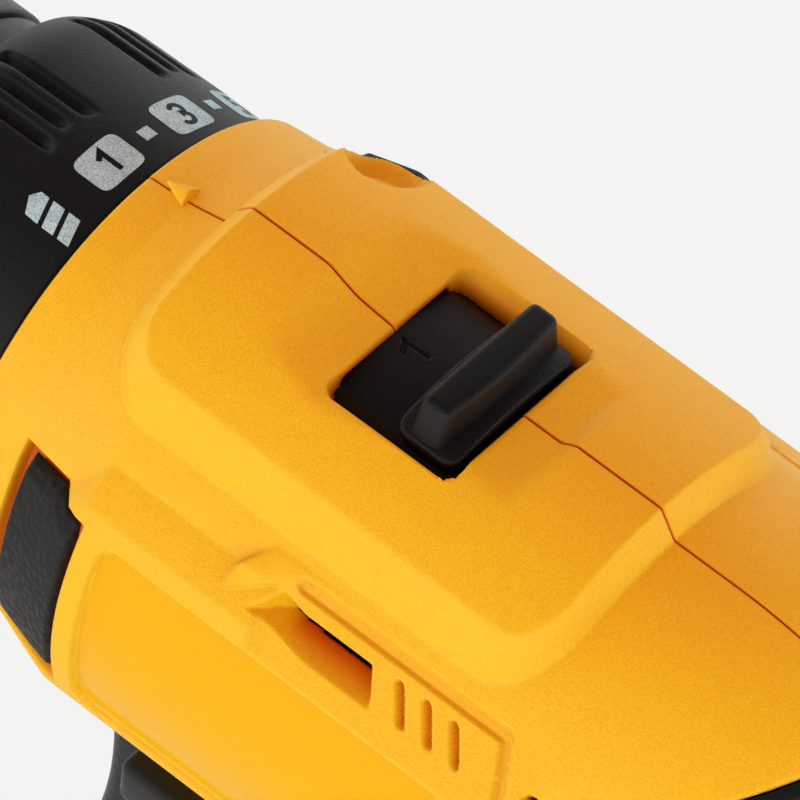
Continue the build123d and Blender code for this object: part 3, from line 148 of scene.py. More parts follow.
def graded(start: float, *spans: Span) -> list[float]:
    """Grid lines from start through spans.

    Args:
        start: The first line.
        spans: Pairs of the next stop and the step to it.

    Returns:
        All lines in order.
    """
    lines = [start]
    for stop, step in spans:
        first = lines[-1]
        count = max(1, math.ceil(abs(stop - first) / step - 1e-6))
        lines += [first + (stop - first) * (i + 1) / count for i in range(count)]
    return lines


def around(back: float, turn: float, radius: float, side: int = 1) -> Vector:
    """A point on the barrel, in metres."""
    angle = math.radians(turn)
    y = side * radius * math.sin(angle)
    z = AXIS_Z + radius * math.cos(angle)
    return Vector((RIM_X - back, y, z)) * MM


def curved_grid(columns: list[float], rows: list[float], place: Place) -> Mesh:
    """A grid whose vertices are put in place by a formula.

    Args:
        columns: Values along the first direction.
        rows: Values along the second direction.
        place: Gives a vertex's point from its two values.

    Returns:
        The mesh, with no wall thickness yet and its normals up to date.
    """
    bm = bmesh.new()
    bmesh.ops.create_grid(bm, x_segments=len(columns) - 1, y_segments=len(rows) - 1, size=1.0)
    low = min(v.co.x for v in bm.verts)
    span = max(v.co.x for v in bm.verts) - low
    for vert in bm.verts:
        column = round((vert.co.x - low) / span * (len(columns) - 1))
        row = round((vert.co.y - low) / span * (len(rows) - 1))
        vert.co = place(columns[column], rows[row])
    bm.normal_update()
    return bm


def from_axis(point: Vector) -> Vector:
    """Direction away from the barrel's axis."""
    return Vector((0.0, point.y, point.z - AXIS_Z * MM)).normalized()


def from_handle(point: Vector) -> Vector:
    """Direction away from the handle's middle."""
    return Vector((point.x - HANDLE_X * MM, point.y, 0.0))


def at_radius(point: Vector, radius: float) -> Vector:
    """Moves a point straight out from the barrel's axis to a radius."""
    out = from_axis(point) * radius * MM
    return Vector((point.x, out.y, AXIS_Z * MM + out.z))


def turn_out(bm: Mesh, away: Callable[[Vector], Vector] = from_axis) -> None:
    """Turns an open skin so that most of its faces look away from the middle."""
    facing = sum(face.normal.dot(away(face.calc_center_median())) * face.calc_area() for face in bm.faces)
    if facing < 0.0:
        bmesh.ops.reverse_faces(bm, faces=bm.faces[:])


def turn_each_out(bm: Mesh) -> None:
    """Turns every face of a flat print away from the barrel's axis."""
    bm.normal_update()
    for face in bm.faces:
        if face.normal.dot(from_axis(face.calc_center_median())) < 0.0:
            face.normal_flip()


def take_in(whole: Mesh, other: Mesh) -> None:
    """Adds another mesh to a mesh and frees it."""
    mesh = bpy.data.meshes.new("part")
    other.to_mesh(mesh)
    other.free()
    whole.from_mesh(mesh)
    bpy.data.meshes.remove(mesh)


def round_off(bm: Mesh, parts: list, offset: float, segments: int, affect: str = "EDGES") -> None:
    """Rounds edges or corners, in the mesh's own unit."""
    bmesh.ops.bevel(bm, geom=parts, offset=offset, segments=segments, affect=affect, profile=0.5, material=-1)


def slice_at(bm: Mesh, point: Vector, normal: Vector) -> None:
    """Cuts every face that a plane crosses and keeps both sides."""
    every = bm.verts[:] + bm.edges[:] + bm.faces[:]
    bmesh.ops.bisect_plane(bm, geom=every, plane_co=point, plane_no=normal)


def block(low: Vector, high: Vector) -> Mesh:
    """A plain block between two corners, in the corners' unit."""
    bm = bmesh.new()
    bmesh.ops.create_cube(bm, size=1.0)
    bmesh.ops.scale(bm, vec=high - low, verts=bm.verts)
    bmesh.ops.translate(bm, vec=(low + high) / 2, verts=bm.verts)
    return bm


def rounded_block(low: Vector, high: Vector, edge: float, segments: int = 3) -> Mesh:
    """A block with rounded edges between two corners in millimetres."""
    bm = block(low * MM, high * MM)
    round_off(bm, bm.edges[:], edge * MM, segments)
    return bm


def node_box(node: str) -> tuple[Vector, Vector]:
    """A node's box in millimetres."""
    low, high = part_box(node)
    return Vector(low) / MM, Vector(high) / MM


def new_piece(name: str, bm: Mesh) -> Piece:
    """Makes a smooth-shaded object from a mesh in place, and frees the mesh."""
    mesh = bpy.data.meshes.new(name)
    bm.to_mesh(mesh)
    bm.free()
    mesh.shade_smooth()
    piece = bpy.data.objects.new(name, mesh)
    bpy.context.scene.collection.objects.link(piece)
    return piece


def dress(piece: Piece, body: str, material: Material, nodes: tuple[str, ...] = ()) -> None:
    """Gives a piece its finish, its body and the nodes it stands for."""
    piece.data.materials.append(material)
    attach(piece, body)
    if nodes:
        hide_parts(*nodes)
    log.info("%s rides on %s", piece.name, body)


def add_wall(piece: Piece, thickness: float) -> bpy.types.SolidifyModifier:
    """Thickens an open skin inwards."""
    wall = piece.modifiers.new("wall", "SOLIDIFY")
    wall.thickness = thickness * MM
    wall.offset = -1.0
    wall.use_even_offset = False
    return wall


def apply_modifiers(piece: Piece) -> None:
    """Bakes a piece's modifiers into its mesh."""
    view = bpy.context.evaluated_depsgraph_get()
    mesh = bpy.data.meshes.new_from_object(piece.evaluated_get(view))
    old = piece.data
    piece.modifiers.clear()
    piece.data = mesh
    bpy.data.meshes.remove(old)


class NodeKit:
    """Short calls for one node tree."""

    def __init__(self, tree: bpy.types.NodeTree) -> None:
        """Keeps the tree."""
        self.tree = tree

    def add(self, kind: str, **values: object) -> bpy.types.Node:
        """Adds a node and sets its properties."""
        node = self.tree.nodes.new(kind)
        for key, value in values.items():
            setattr(node, key, value)
        return node

    def link(self, source: Socket, target: Socket) -> None:
        """Joins two sockets."""
        self.tree.links.new(source, target)

    def spread(self, source: Socket, span: Span, result: Span, **values: object) -> Socket:
        """Maps a value's span to a result's span."""
        node = self.add("ShaderNodeMapRange", **values)
        for label, value in zip(("From Min", "From Max", "To Min", "To Max"), (*span, *result)):
            node.inputs[label].default_value = value
        self.link(source, node.inputs["Value"])
        return node.outputs["Result"]

    def mix(self, share: Socket, first: Socket | Colour, second: Socket | Colour) -> Socket:
        """Mixes two colours, each a socket or a constant."""
        node = self.add("ShaderNodeMix", data_type="RGBA")
        self.link(share, node.inputs[0])
        for index, colour in ((6, first), (7, second)):
            if isinstance(colour, tuple):
                node.inputs[index].default_value = (*colour, 1.0)
            else:
                self.link(colour, node.inputs[index])
        return node.outputs[2]


Texturing = Callable[[NodeKit, Socket], tuple[bpy.types.Node, str]]


class SharedEffects:
    """Node groups that more than one finish uses, each built once, with a height and a slow drift."""

    def __init__(self) -> None:
        """Starts with no group."""
        self.groups: dict[str, bpy.types.NodeTree] = {}

    def group(self, name: str, build: Texturing, detail: float) -> bpy.types.NodeTree:
        """Builds a group once.

        Args:
            name: The group's name.
            build: Adds the fine texture to a kit, from its coordinates, and names its height output.
            detail: Detail of the slow drift.

        Returns:
            The group, with its fine and slow scale as inputs.
        """
        if name in self.groups:
            return self.groups[name]
        tree = bpy.data.node_groups.new(name, "ShaderNodeTree")
        for label in ("Fine", "Slow"):
            tree.interface.new_socket(label, in_out="INPUT", socket_type="NodeSocketFloat")
        for label in ("Height", "Drift"):
            tree.interface.new_socket(label, in_out="OUTPUT", socket_type="NodeSocketFloat")
        kit = NodeKit(tree)
        inside, outside = kit.add("NodeGroupInput"), kit.add("NodeGroupOutput")
        place = kit.add("ShaderNodeTexCoord").outputs["Object"]
        fine, height = build(kit, place)
        slow = kit.add("ShaderNodeTexNoise")
        slow.inputs["Detail"].default_value = detail
        kit.link(place, slow.inputs["Vector"])
        kit.link(inside.outputs["Fine"], fine.inputs["Scale"])
        kit.link(inside.outputs["Slow"], slow.inputs["Scale"])
        kit.link(fine.outputs[height], outside.inputs["Height"])
        kit.link(slow.outputs["Fac"], outside.inputs["Drift"])
        self.groups[name] = tree
        return tree

    def grain(self) -> bpy.types.NodeTree:
        """Moulded grain."""
        def build(kit: NodeKit, place: Socket) -> tuple[bpy.types.Node, str]:
            fine = kit.add("ShaderNodeTexNoise")
            fine.inputs["Detail"].default_value = 3.0
            kit.link(place, fine.inputs["Vector"])
            return fine, "Fac"

        return self.group("moulded grain", build, 4.0)

    def leather(self) -> bpy.types.NodeTree:
        """Pebbled rubber: cells with soft creases."""
        def build(kit: NodeKit, place: Socket) -> tuple[bpy.types.Node, str]:
            cells = kit.add("ShaderNodeTexVoronoi", feature="SMOOTH_F1")
            cells.inputs["Smoothness"].default_value = 0.6
            kit.link(place, cells.inputs["Vector"])
            return cells, "Distance"

        return self.group("pebbled rubber", build, 2.0)

    def turning(self) -> bpy.types.NodeTree:
        """Fine turning marks along X."""
        def build(kit: NodeKit, place: Socket) -> tuple[bpy.types.Node, str]:
            squeeze = kit.add("ShaderNodeMapping")
            squeeze.inputs["Scale"].default_value = (1.0, 0.02, 0.02)
            kit.link(place, squeeze.inputs["Vector"])
            lines = kit.add("ShaderNodeTexNoise")
            kit.link(squeeze.outputs["Vector"], lines.inputs["Vector"])
            return lines, "Fac"

        return self.group("turning marks", build, 2.0)


EFFECTS = SharedEffects()


class Texture(Enum):
    """Which shared effect a finish shows."""

    GRAIN = "grain"
    LEATHER = "leather"
    TURNING = "turning"


@dataclass(frozen=True)
class Finish:
    """One surface finish.

    Attributes:
        name: The material's name.
        dark: Base colour at the low end of the slow drift, linear.
        light: Base colour at the high end.
        rough: Lowest and highest roughness.
        bump: Height of the texture, in millimetres.
        texture: The shared effect.
        fine: The effect's fine scale, per metre.
        slow: The effect's slow scale, per metre.
        metallic: 1 for bare metal.
        specular: The shader's specular level.
        glass: 1 for a clear lens.
        contrast: How sharply the slow drift turns from dark to light.
        speck: How much the fine texture shows in the colour.
        recess: Painted shade, a deeper red colour that stands in for the shade in seams and recesses, where the
            mesh's own "recess" attribute is 1.
    """

    name: str
    dark: Colour
    light: Colour
    rough: Span
    bump: float
    texture: Texture = Texture.GRAIN
    fine: float = 2600.0
    slow: float = 60.0
    metallic: float = 0.0
    specular: float = 0.5
    glass: float = 0.0
    contrast: float = 1.0
    speck: float = 0.0
    recess: Colour | None = None

    @cache
    def material(self) -> Material:
        """Builds the material, once."""
        made = bpy.data.materials.new(self.name)
        made.use_nodes = True
        kit = NodeKit(made.node_tree)
        shader = made.node_tree.nodes["Principled BSDF"]
        shader.inputs["Metallic"].default_value = self.metallic
        shader.inputs["Specular IOR Level"].default_value = self.specular
        shader.inputs["Transmission Weight"].default_value = self.glass
        effect = kit.add("ShaderNodeGroup", node_tree=getattr(EFFECTS, self.texture.value)())
        effect.inputs["Fine"].default_value = self.fine
        effect.inputs["Slow"].default_value = self.slow
        height = effect.outputs["Height"]
        middle = NOISE_MIDDLE
        slow = (middle - middle / self.contrast, middle + (1.0 - middle) / self.contrast)
        share = kit.add("ShaderNodeMath", operation="ADD", use_clamp=True)
        kit.link(kit.spread(effect.outputs["Drift"], slow, (0.0, 1.0)), share.inputs[0])
        kit.link(kit.spread(height, NOISE_SPAN, (-self.speck, self.speck), clamp=False), share.inputs[1])
        colour = kit.mix(share.outputs[0], self.dark, self.light)
        # Painted shade: seams and recesses are mixed towards the deeper red recess colour.
        if self.recess:
            depth = kit.add("ShaderNodeAttribute", attribute_name="recess")
            colour = kit.mix(depth.outputs["Fac"], colour, self.recess)
        kit.link(colour, shader.inputs["Base Color"])
        kit.link(kit.spread(height, NOISE_SPAN, self.rough), shader.inputs["Roughness"])
        bump = kit.add("ShaderNodeBump")
        bump.inputs["Distance"].default_value = self.bump * MM
        kit.link(height, bump.inputs["Height"])
        kit.link(bump.outputs["Normal"], shader.inputs["Normal"])
        return made


# Its recess colour is painted shade for the seam, slots, openings and the vent's scoop.
YELLOW = Finish(
    "yellow housing plastic", (0.77, 0.36, 0.0008), (0.91, 0.435, 0.002), (0.42, 0.55), 0.05,
    fine=5200.0, specular=0.3, contrast=0.25, speck=0.55, recess=(0.72, 0.12, 0.0003),
)
SMOOTH = Finish(
    "smooth yellow panel", (0.77, 0.335, 0.0008), (0.80, 0.348, 0.001), (0.22, 0.27), 0.001,
    fine=900.0, specular=0.12, contrast=0.6,
)
BLACK = Finish(
    "black moulded plastic", (0.0044, 0.0034, 0.0034), (0.0082, 0.0066, 0.0066), (0.36, 0.5), 0.06,
    fine=5200.0, specular=0.3, speck=0.4,
)
SATIN = Finish(
    "satin black plastic", (0.004, 0.0036, 0.0038), (0.007, 0.0062, 0.0064), (0.32, 0.48), 0.03,
    specular=0.2, speck=0.3,
)
RUBBER = Finish(
    "pebbled rubber", (0.011, 0.0086, 0.0088), (0.0235, 0.0188, 0.0193), (0.5, 0.7), 0.16,
    Texture.LEATHER, 1300.0, 90.0, specular=0.2, speck=0.3,
)
GREY = Finish("dark grey plastic", (0.02, 0.02, 0.022), (0.03, 0.03, 0.032), (0.36, 0.48), 0.02, specular=0.4)
STEEL = Finish(
    "turned steel", (0.42, 0.42, 0.43), (0.52, 0.52, 0.53), (0.22, 0.36), 0.006,
    Texture.TURNING, 4200.0, 140.0, 1.0,
)
DARK_STEEL = Finish(
    "blackened steel", (0.06, 0.06, 0.062), (0.09, 0.09, 0.092), (0.34, 0.46), 0.006,
    Texture.TURNING, 4200.0, 140.0, 1.0,
)
BRONZE = Finish("sintered bronze", (0.42, 0.24, 0.09), (0.52, 0.31, 0.13), (0.36, 0.5), 0.02, metallic=1.0)
FERRITE = Finish("sintered ferrite", (0.035, 0.035, 0.036), (0.055, 0.055, 0.056), (0.5, 0.66), 0.03)
PRINT = Finish(
    "white speckled print", (0.27, 0.36, 0.43), (0.48, 0.60, 0.68), (0.5, 0.65), 0.02,
    fine=5200.0, slow=900.0, contrast=1.5, speck=0.9, specular=0.2,
)
CELL = Finish("cell sleeve", (0.03, 0.16, 0.24), (0.04, 0.20, 0.29), (0.25, 0.35), 0.004)
BOARD = Finish("green board", (0.012, 0.11, 0.035), (0.02, 0.15, 0.05), (0.3, 0.42), 0.01)
LENS = Finish("clear lens", (0.93, 0.94, 0.95), (0.97, 0.98, 0.99), (0.03, 0.06), 0.0, glass=1.0)


@dataclass
class BarrelForm:
    """The barrel's moulded surface as a radius over its length and round its girth.

    Lengths run behind the rim's front face. Angles run from the top. Spans give where a wall starts and ends.

    Attributes:
        rim_r: Radius of the rim behind the torque collar.
        rim_flare: How much the rim widens over its length.
        rim_edge: Rounding of the rim's front edge.
        full_r: Radius of the barrel.
        sweep: The concave sweep from the rim to the barrel.
        platform_r: Radius of the raised platform on top.
        front_wall: The platform's front wall.
        rear_wall: Its rear wall, from foot to top.
        flank_wall: Its side wall round the girth.
        plan_corner: Rounding of its corners at the ends and at the flanks, in wall widths.
        bend: Rounding of its edges, as a share of the wall.
        front_break: Where the front wall turns from a chamfer to a steep face, and its drop there.
        dish: Depth of the dish at its front wall, at the window's front edge and at its rear wall.
        dish_front: The dish's front wall.
        dish_rear: Its rear wall.
        frame_rise: Height of the side frame over the barrel.
        frame_span: The frame's front and rear end.
        frame_low: Angles of its lower wall.
        ledge: Angles of the sloping ledge over the frame.
        hood_turn: Angle where the flat hood over the vent leaves the barrel.
        panel: Depth of the smooth panel in the frame.
        panel_span: The panel's front and rear edge.
        panel_turns: Its upper and lower edge.
        pad_depth: Depth of the rubber pad's recess.
        pad_span: The recess's front and rear edge.
        pad_turns: Its upper edge in front of and behind its jog.
        pad_low: Its lower edge.
        right_pad: How much higher the right half's pad reaches, as an angle.
        right_pad_rear: The rear edge of the right half's recess.
        vent_span: The vent's front and rear end.
        vent_turns: Its lip and the end of its scoop.
        slot_turns: Upper and lower end of the blind slots.
        slots: Places of the blind slots' upper ends.
        window_mid: Middle of the selector's window.
        window_half: Half its length.
        window_reach: Half its width round the girth.
        bite_back: Middle of the round notch in the right shoulder.
        bite_girth: Its middle round the girth.
        bite_r: Its radius.
        right_drop: How much lower the right half's frame lies, as an angle.
        right_flat: How much slimmer the right half is beside the platform.
        right_flat_turns: Angles over which that starts.
        right_flat_span: Where it starts along the barrel.
        tail_start: Where the tail starts to round off.
        tail_arc: Radius of the tail's rounding.
        tail_end: Where the tail ends.
        tail_edge: Rounding of the tail's end.
        tongue_r: Radius of the housing's tongue over the rear cover.
        tongue_base: Where the tongue starts.
        sweep_bend: How much of the sweep is rounded; the rest is straight.
        front_blend: Where the front wall's break fades out along the flanks.
        bite_soft: Half the width of the notch's edge.
        dish_round: Rounding of the dish's rim, and how much that lowers it.
        dish_bend: Rounding of the dish's walls, as a share.
        arrow_tip: Place and angle of the upper corner of the arrow in front of the vent.
        arrow_edges: Directions across its two upper edges, along and round the barrel.
        arrow_front: Where its front edge lies.
        arrow_rise: How much it stands proud.
        arrow_turns: Angles over which it rises.
        arrow_fade: Distance behind its edge over which it sinks.
        arrow_foot: Place and angle of its lower corner.
        arrow_under: Direction across its lower edge.
        arrow_soft: Width of its edges, outside and inside.
        hood_start: Where the hood starts behind the arrow.
        frame_top: Angle above which there is no frame.
        horn: Slope of the frame's front end, and its least width.
        frame_bends: Rounding of the frame's front end and of its ledge.
        frame_fade: Half the width of its rear end.
        panel_corner: Corner radius of the panel.
        panel_soft: Half the width of its edge.
        pad_jog: Where the jog in the pad's upper edge lies.
        pad_soft: Half the width of the recess's edge.
        vent_floor: The scoop's depth, and the power of its curve.
        vent_lip: Width of the step under the lip, and where the floor starts to rise.
        vent_front: How much higher the scoop's front corner reaches, and over which length.
        vent_foot: How much higher its foot lies in front, and where that ends.
        vent_slope: Steepness of its front end, how much flatter it is below, and the angle there.
        vent_lean: How much its front and rear end lean, the rear one down to an angle.
        vent_end: Width of its rear end, inside and outside.
        vent_hole: Depth from which the wall is open.
        vent_tint: Depths over which the scoop's painted shade turns it redder.
        vent_tint_span: Where that painted shade starts behind its front end.
        channel: Middle, angle, half length and half width of the groove along the hood.
        channel_foot: Place of its bent end, that end's lean, lower angle and half width.
        channel_depth: Its depth.
        slot_shape: Half width, lean, corner and depth of the blind slots.
        groove_soft: Half the width of the grooves' edges.
        rear_slot_at: Place and angle of the cooling slot near the tail.
        rear_slot_half: Half its length and width.
        rear_slot_depth: Depth of its rim.
        window_corner: Corner radius of the window.
        window_drop: Depth of its wall in front and behind, and how much deeper it is at the sides.
        window_side: Where the wall deepens, round the girth.
        window_face: The wall's foot and top, as distances to the window's edge.
        window_cut: Distance at which the wall is cut open.
        snap: How near a grid place must be to be moved onto the window's edges.
        seam_groove: Depth and half width of the groove along the seam.
        tongue_lip: Depth and width of the rounding at the tongue's edge.
        thin_wall: Share of the wall's thickness round the window, and where it gets back to full.
    """

    rim_r: float = 26.7
    rim_flare: float = 0.5
    rim_edge: float = 0.4
    full_r: float = 30.0
    sweep: Span = (5.0, 16.5)
    platform_r: float = 33.15
    front_wall: Span = (10.1, 12.8)
    rear_wall: Span = (65.9, 63.9)
    flank_wall: Span = (22.3, 17.5)
    plan_corner: Span = (2.0, 1.15)
    bend: float = 0.07
    front_break: Span = (0.72, 0.48)
    dish: Triple = (1.75, 2.3, 1.2)
    dish_front: Span = (22.4, 26.2)
    dish_rear: Span = (53.4, 51.6)
    frame_rise: float = 1.6
    frame_span: Span = (17.2, 71.0)
    frame_low: Span = (107.8, 110.0)
    ledge: Span = (51.6, 59.8)
    hood_turn: float = 45.0
    panel: float = 0.8
    panel_span: Span = (20.5, 63.8)
    panel_turns: Span = (64.4, 105.6)
    pad_depth: float = 1.5
    pad_span: Span = (7.1, 17.8)
    pad_turns: Span = (60.2, 63.4)
    pad_low: float = 105.5
    right_pad: float = 12.0
    right_pad_rear: float = 15.4
    vent_span: Span = (38.9, 50.0)
    vent_turns: Span = (52.2, 59.2)
    slot_turns: Span = (51.6, 58.4)
    slots: tuple[float, ...] = (53.4, 56.8, 60.2)
    window_mid: float = 38.9
    window_half: float = 8.1
    window_reach: float = 9.9
    bite_back: float = 16.3
    bite_girth: float = 15.5
    bite_r: float = 4.1
    right_drop: float = 9.0
    right_flat: float = 0.65
    right_flat_turns: Span = (34.0, 46.0)
    right_flat_span: Span = (14.0, 18.0)
    tail_start: float = 74.0
    tail_arc: float = 45.0
    tail_end: float = 105.0
    tail_edge: float = 4.0
    tongue_r: float = 26.0
    tongue_base: float = 66.5
    sweep_bend: float = 0.2
    front_blend: Span = (13.0, 18.0)
    bite_soft: float = 0.35
    dish_round: Span = (0.3, 0.07)
    dish_bend: float = 0.14
    arrow_tip: Span = (36.0, 44.6)
    arrow_edges: tuple[Span, Span] = ((0.819, 0.574), (0.319, 0.948))
    arrow_front: float = 33.3
    arrow_rise: float = 1.0
    arrow_turns: Span = (45.0, 51.0)
    arrow_fade: Span = (0.2, 5.0)
    arrow_foot: Span = (33.6, 56.7)
    arrow_under: Span = (0.575, 0.819)
    arrow_soft: Span = (-0.1, 0.14)
    hood_start: float = 38.0
    frame_top: float = 38.0
    horn: Span = (0.4, 0.6)
    frame_bends: Span = (0.12, 0.35)
    frame_fade: float = 1.5
    panel_corner: float = 2.0
    panel_soft: float = 0.17
    pad_jog: Span = (13.6, 15.2)
    pad_soft: float = 0.22
    vent_floor: Span = (4.6, 0.85)
    vent_lip: Span = (0.4, 0.5)
    vent_front: Span = (1.2, 2.6)
    vent_foot: Triple = (1.7, 39.0, 44.0)
    vent_slope: Triple = (1.9, 0.6, 57.0)
    vent_lean: Triple = (0.38, 2.6, 60.0)
    vent_end: Span = (0.55, 0.2)
    vent_hole: float = 3.1
    vent_tint: Span = (0.3, 2.6)
    vent_tint_span: Span = (39.6, 41.4)
    channel: Quad = (52.9, 48.1, 13.2, 0.72)
    channel_foot: Quad = (65.4, 3.3, 61.0, 0.6)
    channel_depth: float = 0.5
    slot_shape: Quad = (0.42, 2.5, 0.4, 1.2)
    groove_soft: float = 0.12
    rear_slot_at: Span = (72.0, 56.0)
    rear_slot_half: Span = (1.9, 1.0)
    rear_slot_depth: float = 1.2
    window_corner: float = 1.5
    window_drop: Span = (0.5, 3.3)
    window_side: Span = (7.2, 9.2)
    window_face: Span = (-0.22, 0.14)
    window_cut: float = -0.26
    snap: float = 0.2
    seam_groove: Span = (0.34, 0.22)
    tongue_lip: Span = (0.3, 0.5)
    thin_wall: Triple = (0.3, 9.0, 12.0)

    def girth(self, turn: float) -> float:
        """Distance round the barrel from the top."""
        return math.radians(turn) * self.full_r

    def plain(self, back: float) -> float:
        """The turned form's radius: rim, sweep, barrel and rounded tail."""
        rim = self.rim_r + self.rim_flare * ramp(back, 0.0, self.sweep[0])
        bend = self.sweep_bend
        share = bend * ease(back, *self.sweep) + (1.0 - bend) * ramp(back, *self.sweep)
        radius = rim + (self.full_r - rim) * share
        radius -= self.rim_edge * (1.0 - ramp(back, 0.0, self.rim_edge)) ** 2
        if back > self.tail_start:
            radius -= self.tail_arc - math.sqrt(self.tail_arc**2 - (back - self.tail_start) ** 2)
        return radius

    def tongue_end(self, turn: float) -> float:
        """Where the yellow housing ends at an angle."""
        y = self.full_r * math.sin(math.radians(turn))
        reach = math.sqrt(max(self.tongue_r**2 - y * y, 0.0)) if turn < 90.0 else 0.0
        return self.tongue_base + reach

    def stand(self, back: float, girth: float, front: Span, rear: Span, flank: Span) -> float:
        """How far a place is out of a raised field, in wall widths: 0 at its edge and 1 at its foot."""
        end_corner, flank_corner = self.plan_corner
        along = max(max(wall_place(back, front), wall_place(back, rear)) / end_corner + 1.0, 0.0)
        across = max(wall_place(girth, flank) / flank_corner + 1.0, 0.0)
        reach = along * along + across * across
        if reach == 0.0:
            return -1.0
        scale = (end_corner * along * along + flank_corner * across * across) / reach
        return (math.sqrt(reach) - 1.0) * scale

    def platform_share(self, back: float, turn: float, side: int = 1) -> float:
        """How much of the platform's height stands here; the right shoulder has a round notch."""
        girth = self.girth(turn)
        out = self.stand(back, girth, self.front_wall, self.rear_wall, self.flank_wall)
        break_at, drop = self.front_break
        steep = drop * chamfer(out, 0.0, break_at, self.bend)
        steep += (1.0 - drop) * chamfer(out, break_at, 1.0, self.bend)
        even = chamfer(out, 0.0, 1.0, self.bend)
        share = 1.0 - (steep + (even - steep) * ease(back, *self.front_blend))
        if side < 0:
            away = math.hypot(back - self.bite_back, girth - self.bite_girth) - self.bite_r
            share *= ease(away, -self.bite_soft, self.bite_soft)
        return share

    def dish_depth(self, back: float, turn: float) -> float:
        """Depth of the flat-floored dish round the window, deepest at the window's front edge."""
        start, front, rear = self.dish
        edge = self.window_mid - self.window_half
        depth = start + (front - start) * ramp(back, self.dish_front[1], edge)
        depth += (rear - front) * ramp(back, edge, self.window_mid + self.window_half)
        steepest = math.radians(min(turn, 60.0))
        flat = self.platform_r - (self.platform_r - depth) / math.cos(steepest)
        ends = max(wall_place(back, self.dish_front), wall_place(back, self.dish_rear))
        rounding, shift = self.dish_round
        soft = 0.5 * (flat + math.hypot(flat, rounding)) - shift
        return max(soft, 0.0) * (1.0 - chamfer(ends, 0.0, 1.0, self.dish_bend))

    def arrow_inside(self, back: float, turn: float) -> float:
        """Distance into the hood from the arrow-shaped front edge."""
        behind = back - self.arrow_tip[0]
        below = self.girth(turn) - self.girth(self.arrow_tip[1])
        upper = min(along * behind + down * below for along, down in self.arrow_edges)
        return min(upper, back - self.arrow_front)

    def hood(self, back: float, turn: float) -> float:
        """Height of the flat hood over the vent; its arrow stands proud and sinks towards the back."""
        height = self.full_r / math.cos(math.radians(max(turn - self.hood_turn, 0.0))) - self.full_r
        fade = 1.0 - ease(self.arrow_inside(back, turn), *self.arrow_fade)
        height += self.arrow_rise * ramp(turn, *self.arrow_turns) * fade
        return min(height, self.frame_rise)

    def hood_share(self, back: float, turn: float) -> float:
        """How much of the hood stands here: it starts with an arrow that points forward."""
        along, down = self.arrow_under
        below = self.girth(turn) - self.girth(self.arrow_foot[1])
        lower = -along * (back - self.arrow_foot[0]) - down * below
        inside = min(self.arrow_inside(back, turn), max(lower, back - self.hood_start))
        return ease(inside, *self.arrow_soft)

    def frame_height(self, back: float, turn: float, side: int) -> float:
        """Height of the side frame over the barrel, with its ledge, its horn in front and the hood."""
        if turn < self.frame_top:
            return 0.0
        start, end = self.ledge
        if side < 0:
            start, end = start + self.right_drop, end + self.right_drop
        front, rear = self.frame_span
        slope, least = self.horn
        end_bend, ledge_bend = self.frame_bends
        foot = min(front - slope * max(turn - start, 0.0), front - least)
        ends = chamfer(back, foot, front, end_bend)
        ends *= 1.0 - ease(back, rear - self.frame_fade, rear + self.frame_fade)
        height = self.frame_rise * chamfer(turn, start, end, ledge_bend)
        if side > 0:
            height += (self.hood(back, turn) - height) * self.hood_share(back, turn)
        return height * (1.0 - ease(turn, *self.frame_low)) * ends

    def panel_share(self, back: float, turn: float, side: int) -> float:
        """How much of the smooth panel's depth is reached here."""
        front, rear = self.panel_span
        top, low = (self.girth(edge) for edge in self.panel_turns)
        if side < 0:
            top += self.girth(self.right_drop)
        along = back - (front + rear) / 2
        down = self.girth(turn) - (top + low) / 2
        distance = box_distance(along, down, (rear - front) / 2, (low - top) / 2, self.panel_corner)
        return 1.0 - ease(distance, -self.panel_soft, self.panel_soft)

    def pad_edge(self, back: float, side: int) -> float:
        """The angle of the pad recess's upper edge, with its jog at the back."""
        first, second = self.pad_turns
        edge = first + (second - first) * ramp(back, *self.pad_jog)
        return edge if side > 0 else edge - self.right_pad

    def pad_rear(self, side: int) -> float:
        """The pad recess's rear edge."""
        return self.pad_span[1] if side > 0 else self.right_pad_rear

    def pad_share(self, back: float, turn: float, side: int) -> float:
        """How much of the pad's recess is reached here."""
        girth = self.girth(turn)
        top = girth - self.girth(self.pad_edge(back, side))
        bottom = self.girth(self.pad_low) - girth
        inside = min(top, bottom, back - self.pad_span[0], self.pad_rear(side) - back)
        return ease(inside, -self.pad_soft, self.pad_soft)

    def vent_depth(self, back: float, turn: float) -> float:
        """Depth of the scoop under the vent's hood, with a sloping front end."""
        lip, foot = self.vent_turns
        if not lip - 2.0 < turn < foot + 1.0:
            return 0.0
        front, rear = self.vent_span
        higher, length = self.vent_front
        edge = lip - higher * (1.0 - ramp(back, front, front + length))
        lift, *lift_span = self.vent_foot
        foot -= lift * (1.0 - ramp(back, *lift_span))
        step, flat = self.vent_lip
        under = ease(turn, edge, edge + step)
        depth, power = self.vent_floor
        floor = depth * under * (1.0 - ramp(turn, edge + flat, foot)) ** power
        steep, flatter, low = self.vent_slope
        front_lean, rear_lean, lowest = self.vent_lean
        start = front - front_lean * (turn - edge)
        slope = (steep - flatter * ramp(turn, lip, low)) * max(back - start, 0.0) * under
        end = rear + rear_lean * ramp(turn, lip, lowest)
        inside, outside = self.vent_end
        return min(floor, slope) * (1.0 - ease(back, end - inside, end + outside))

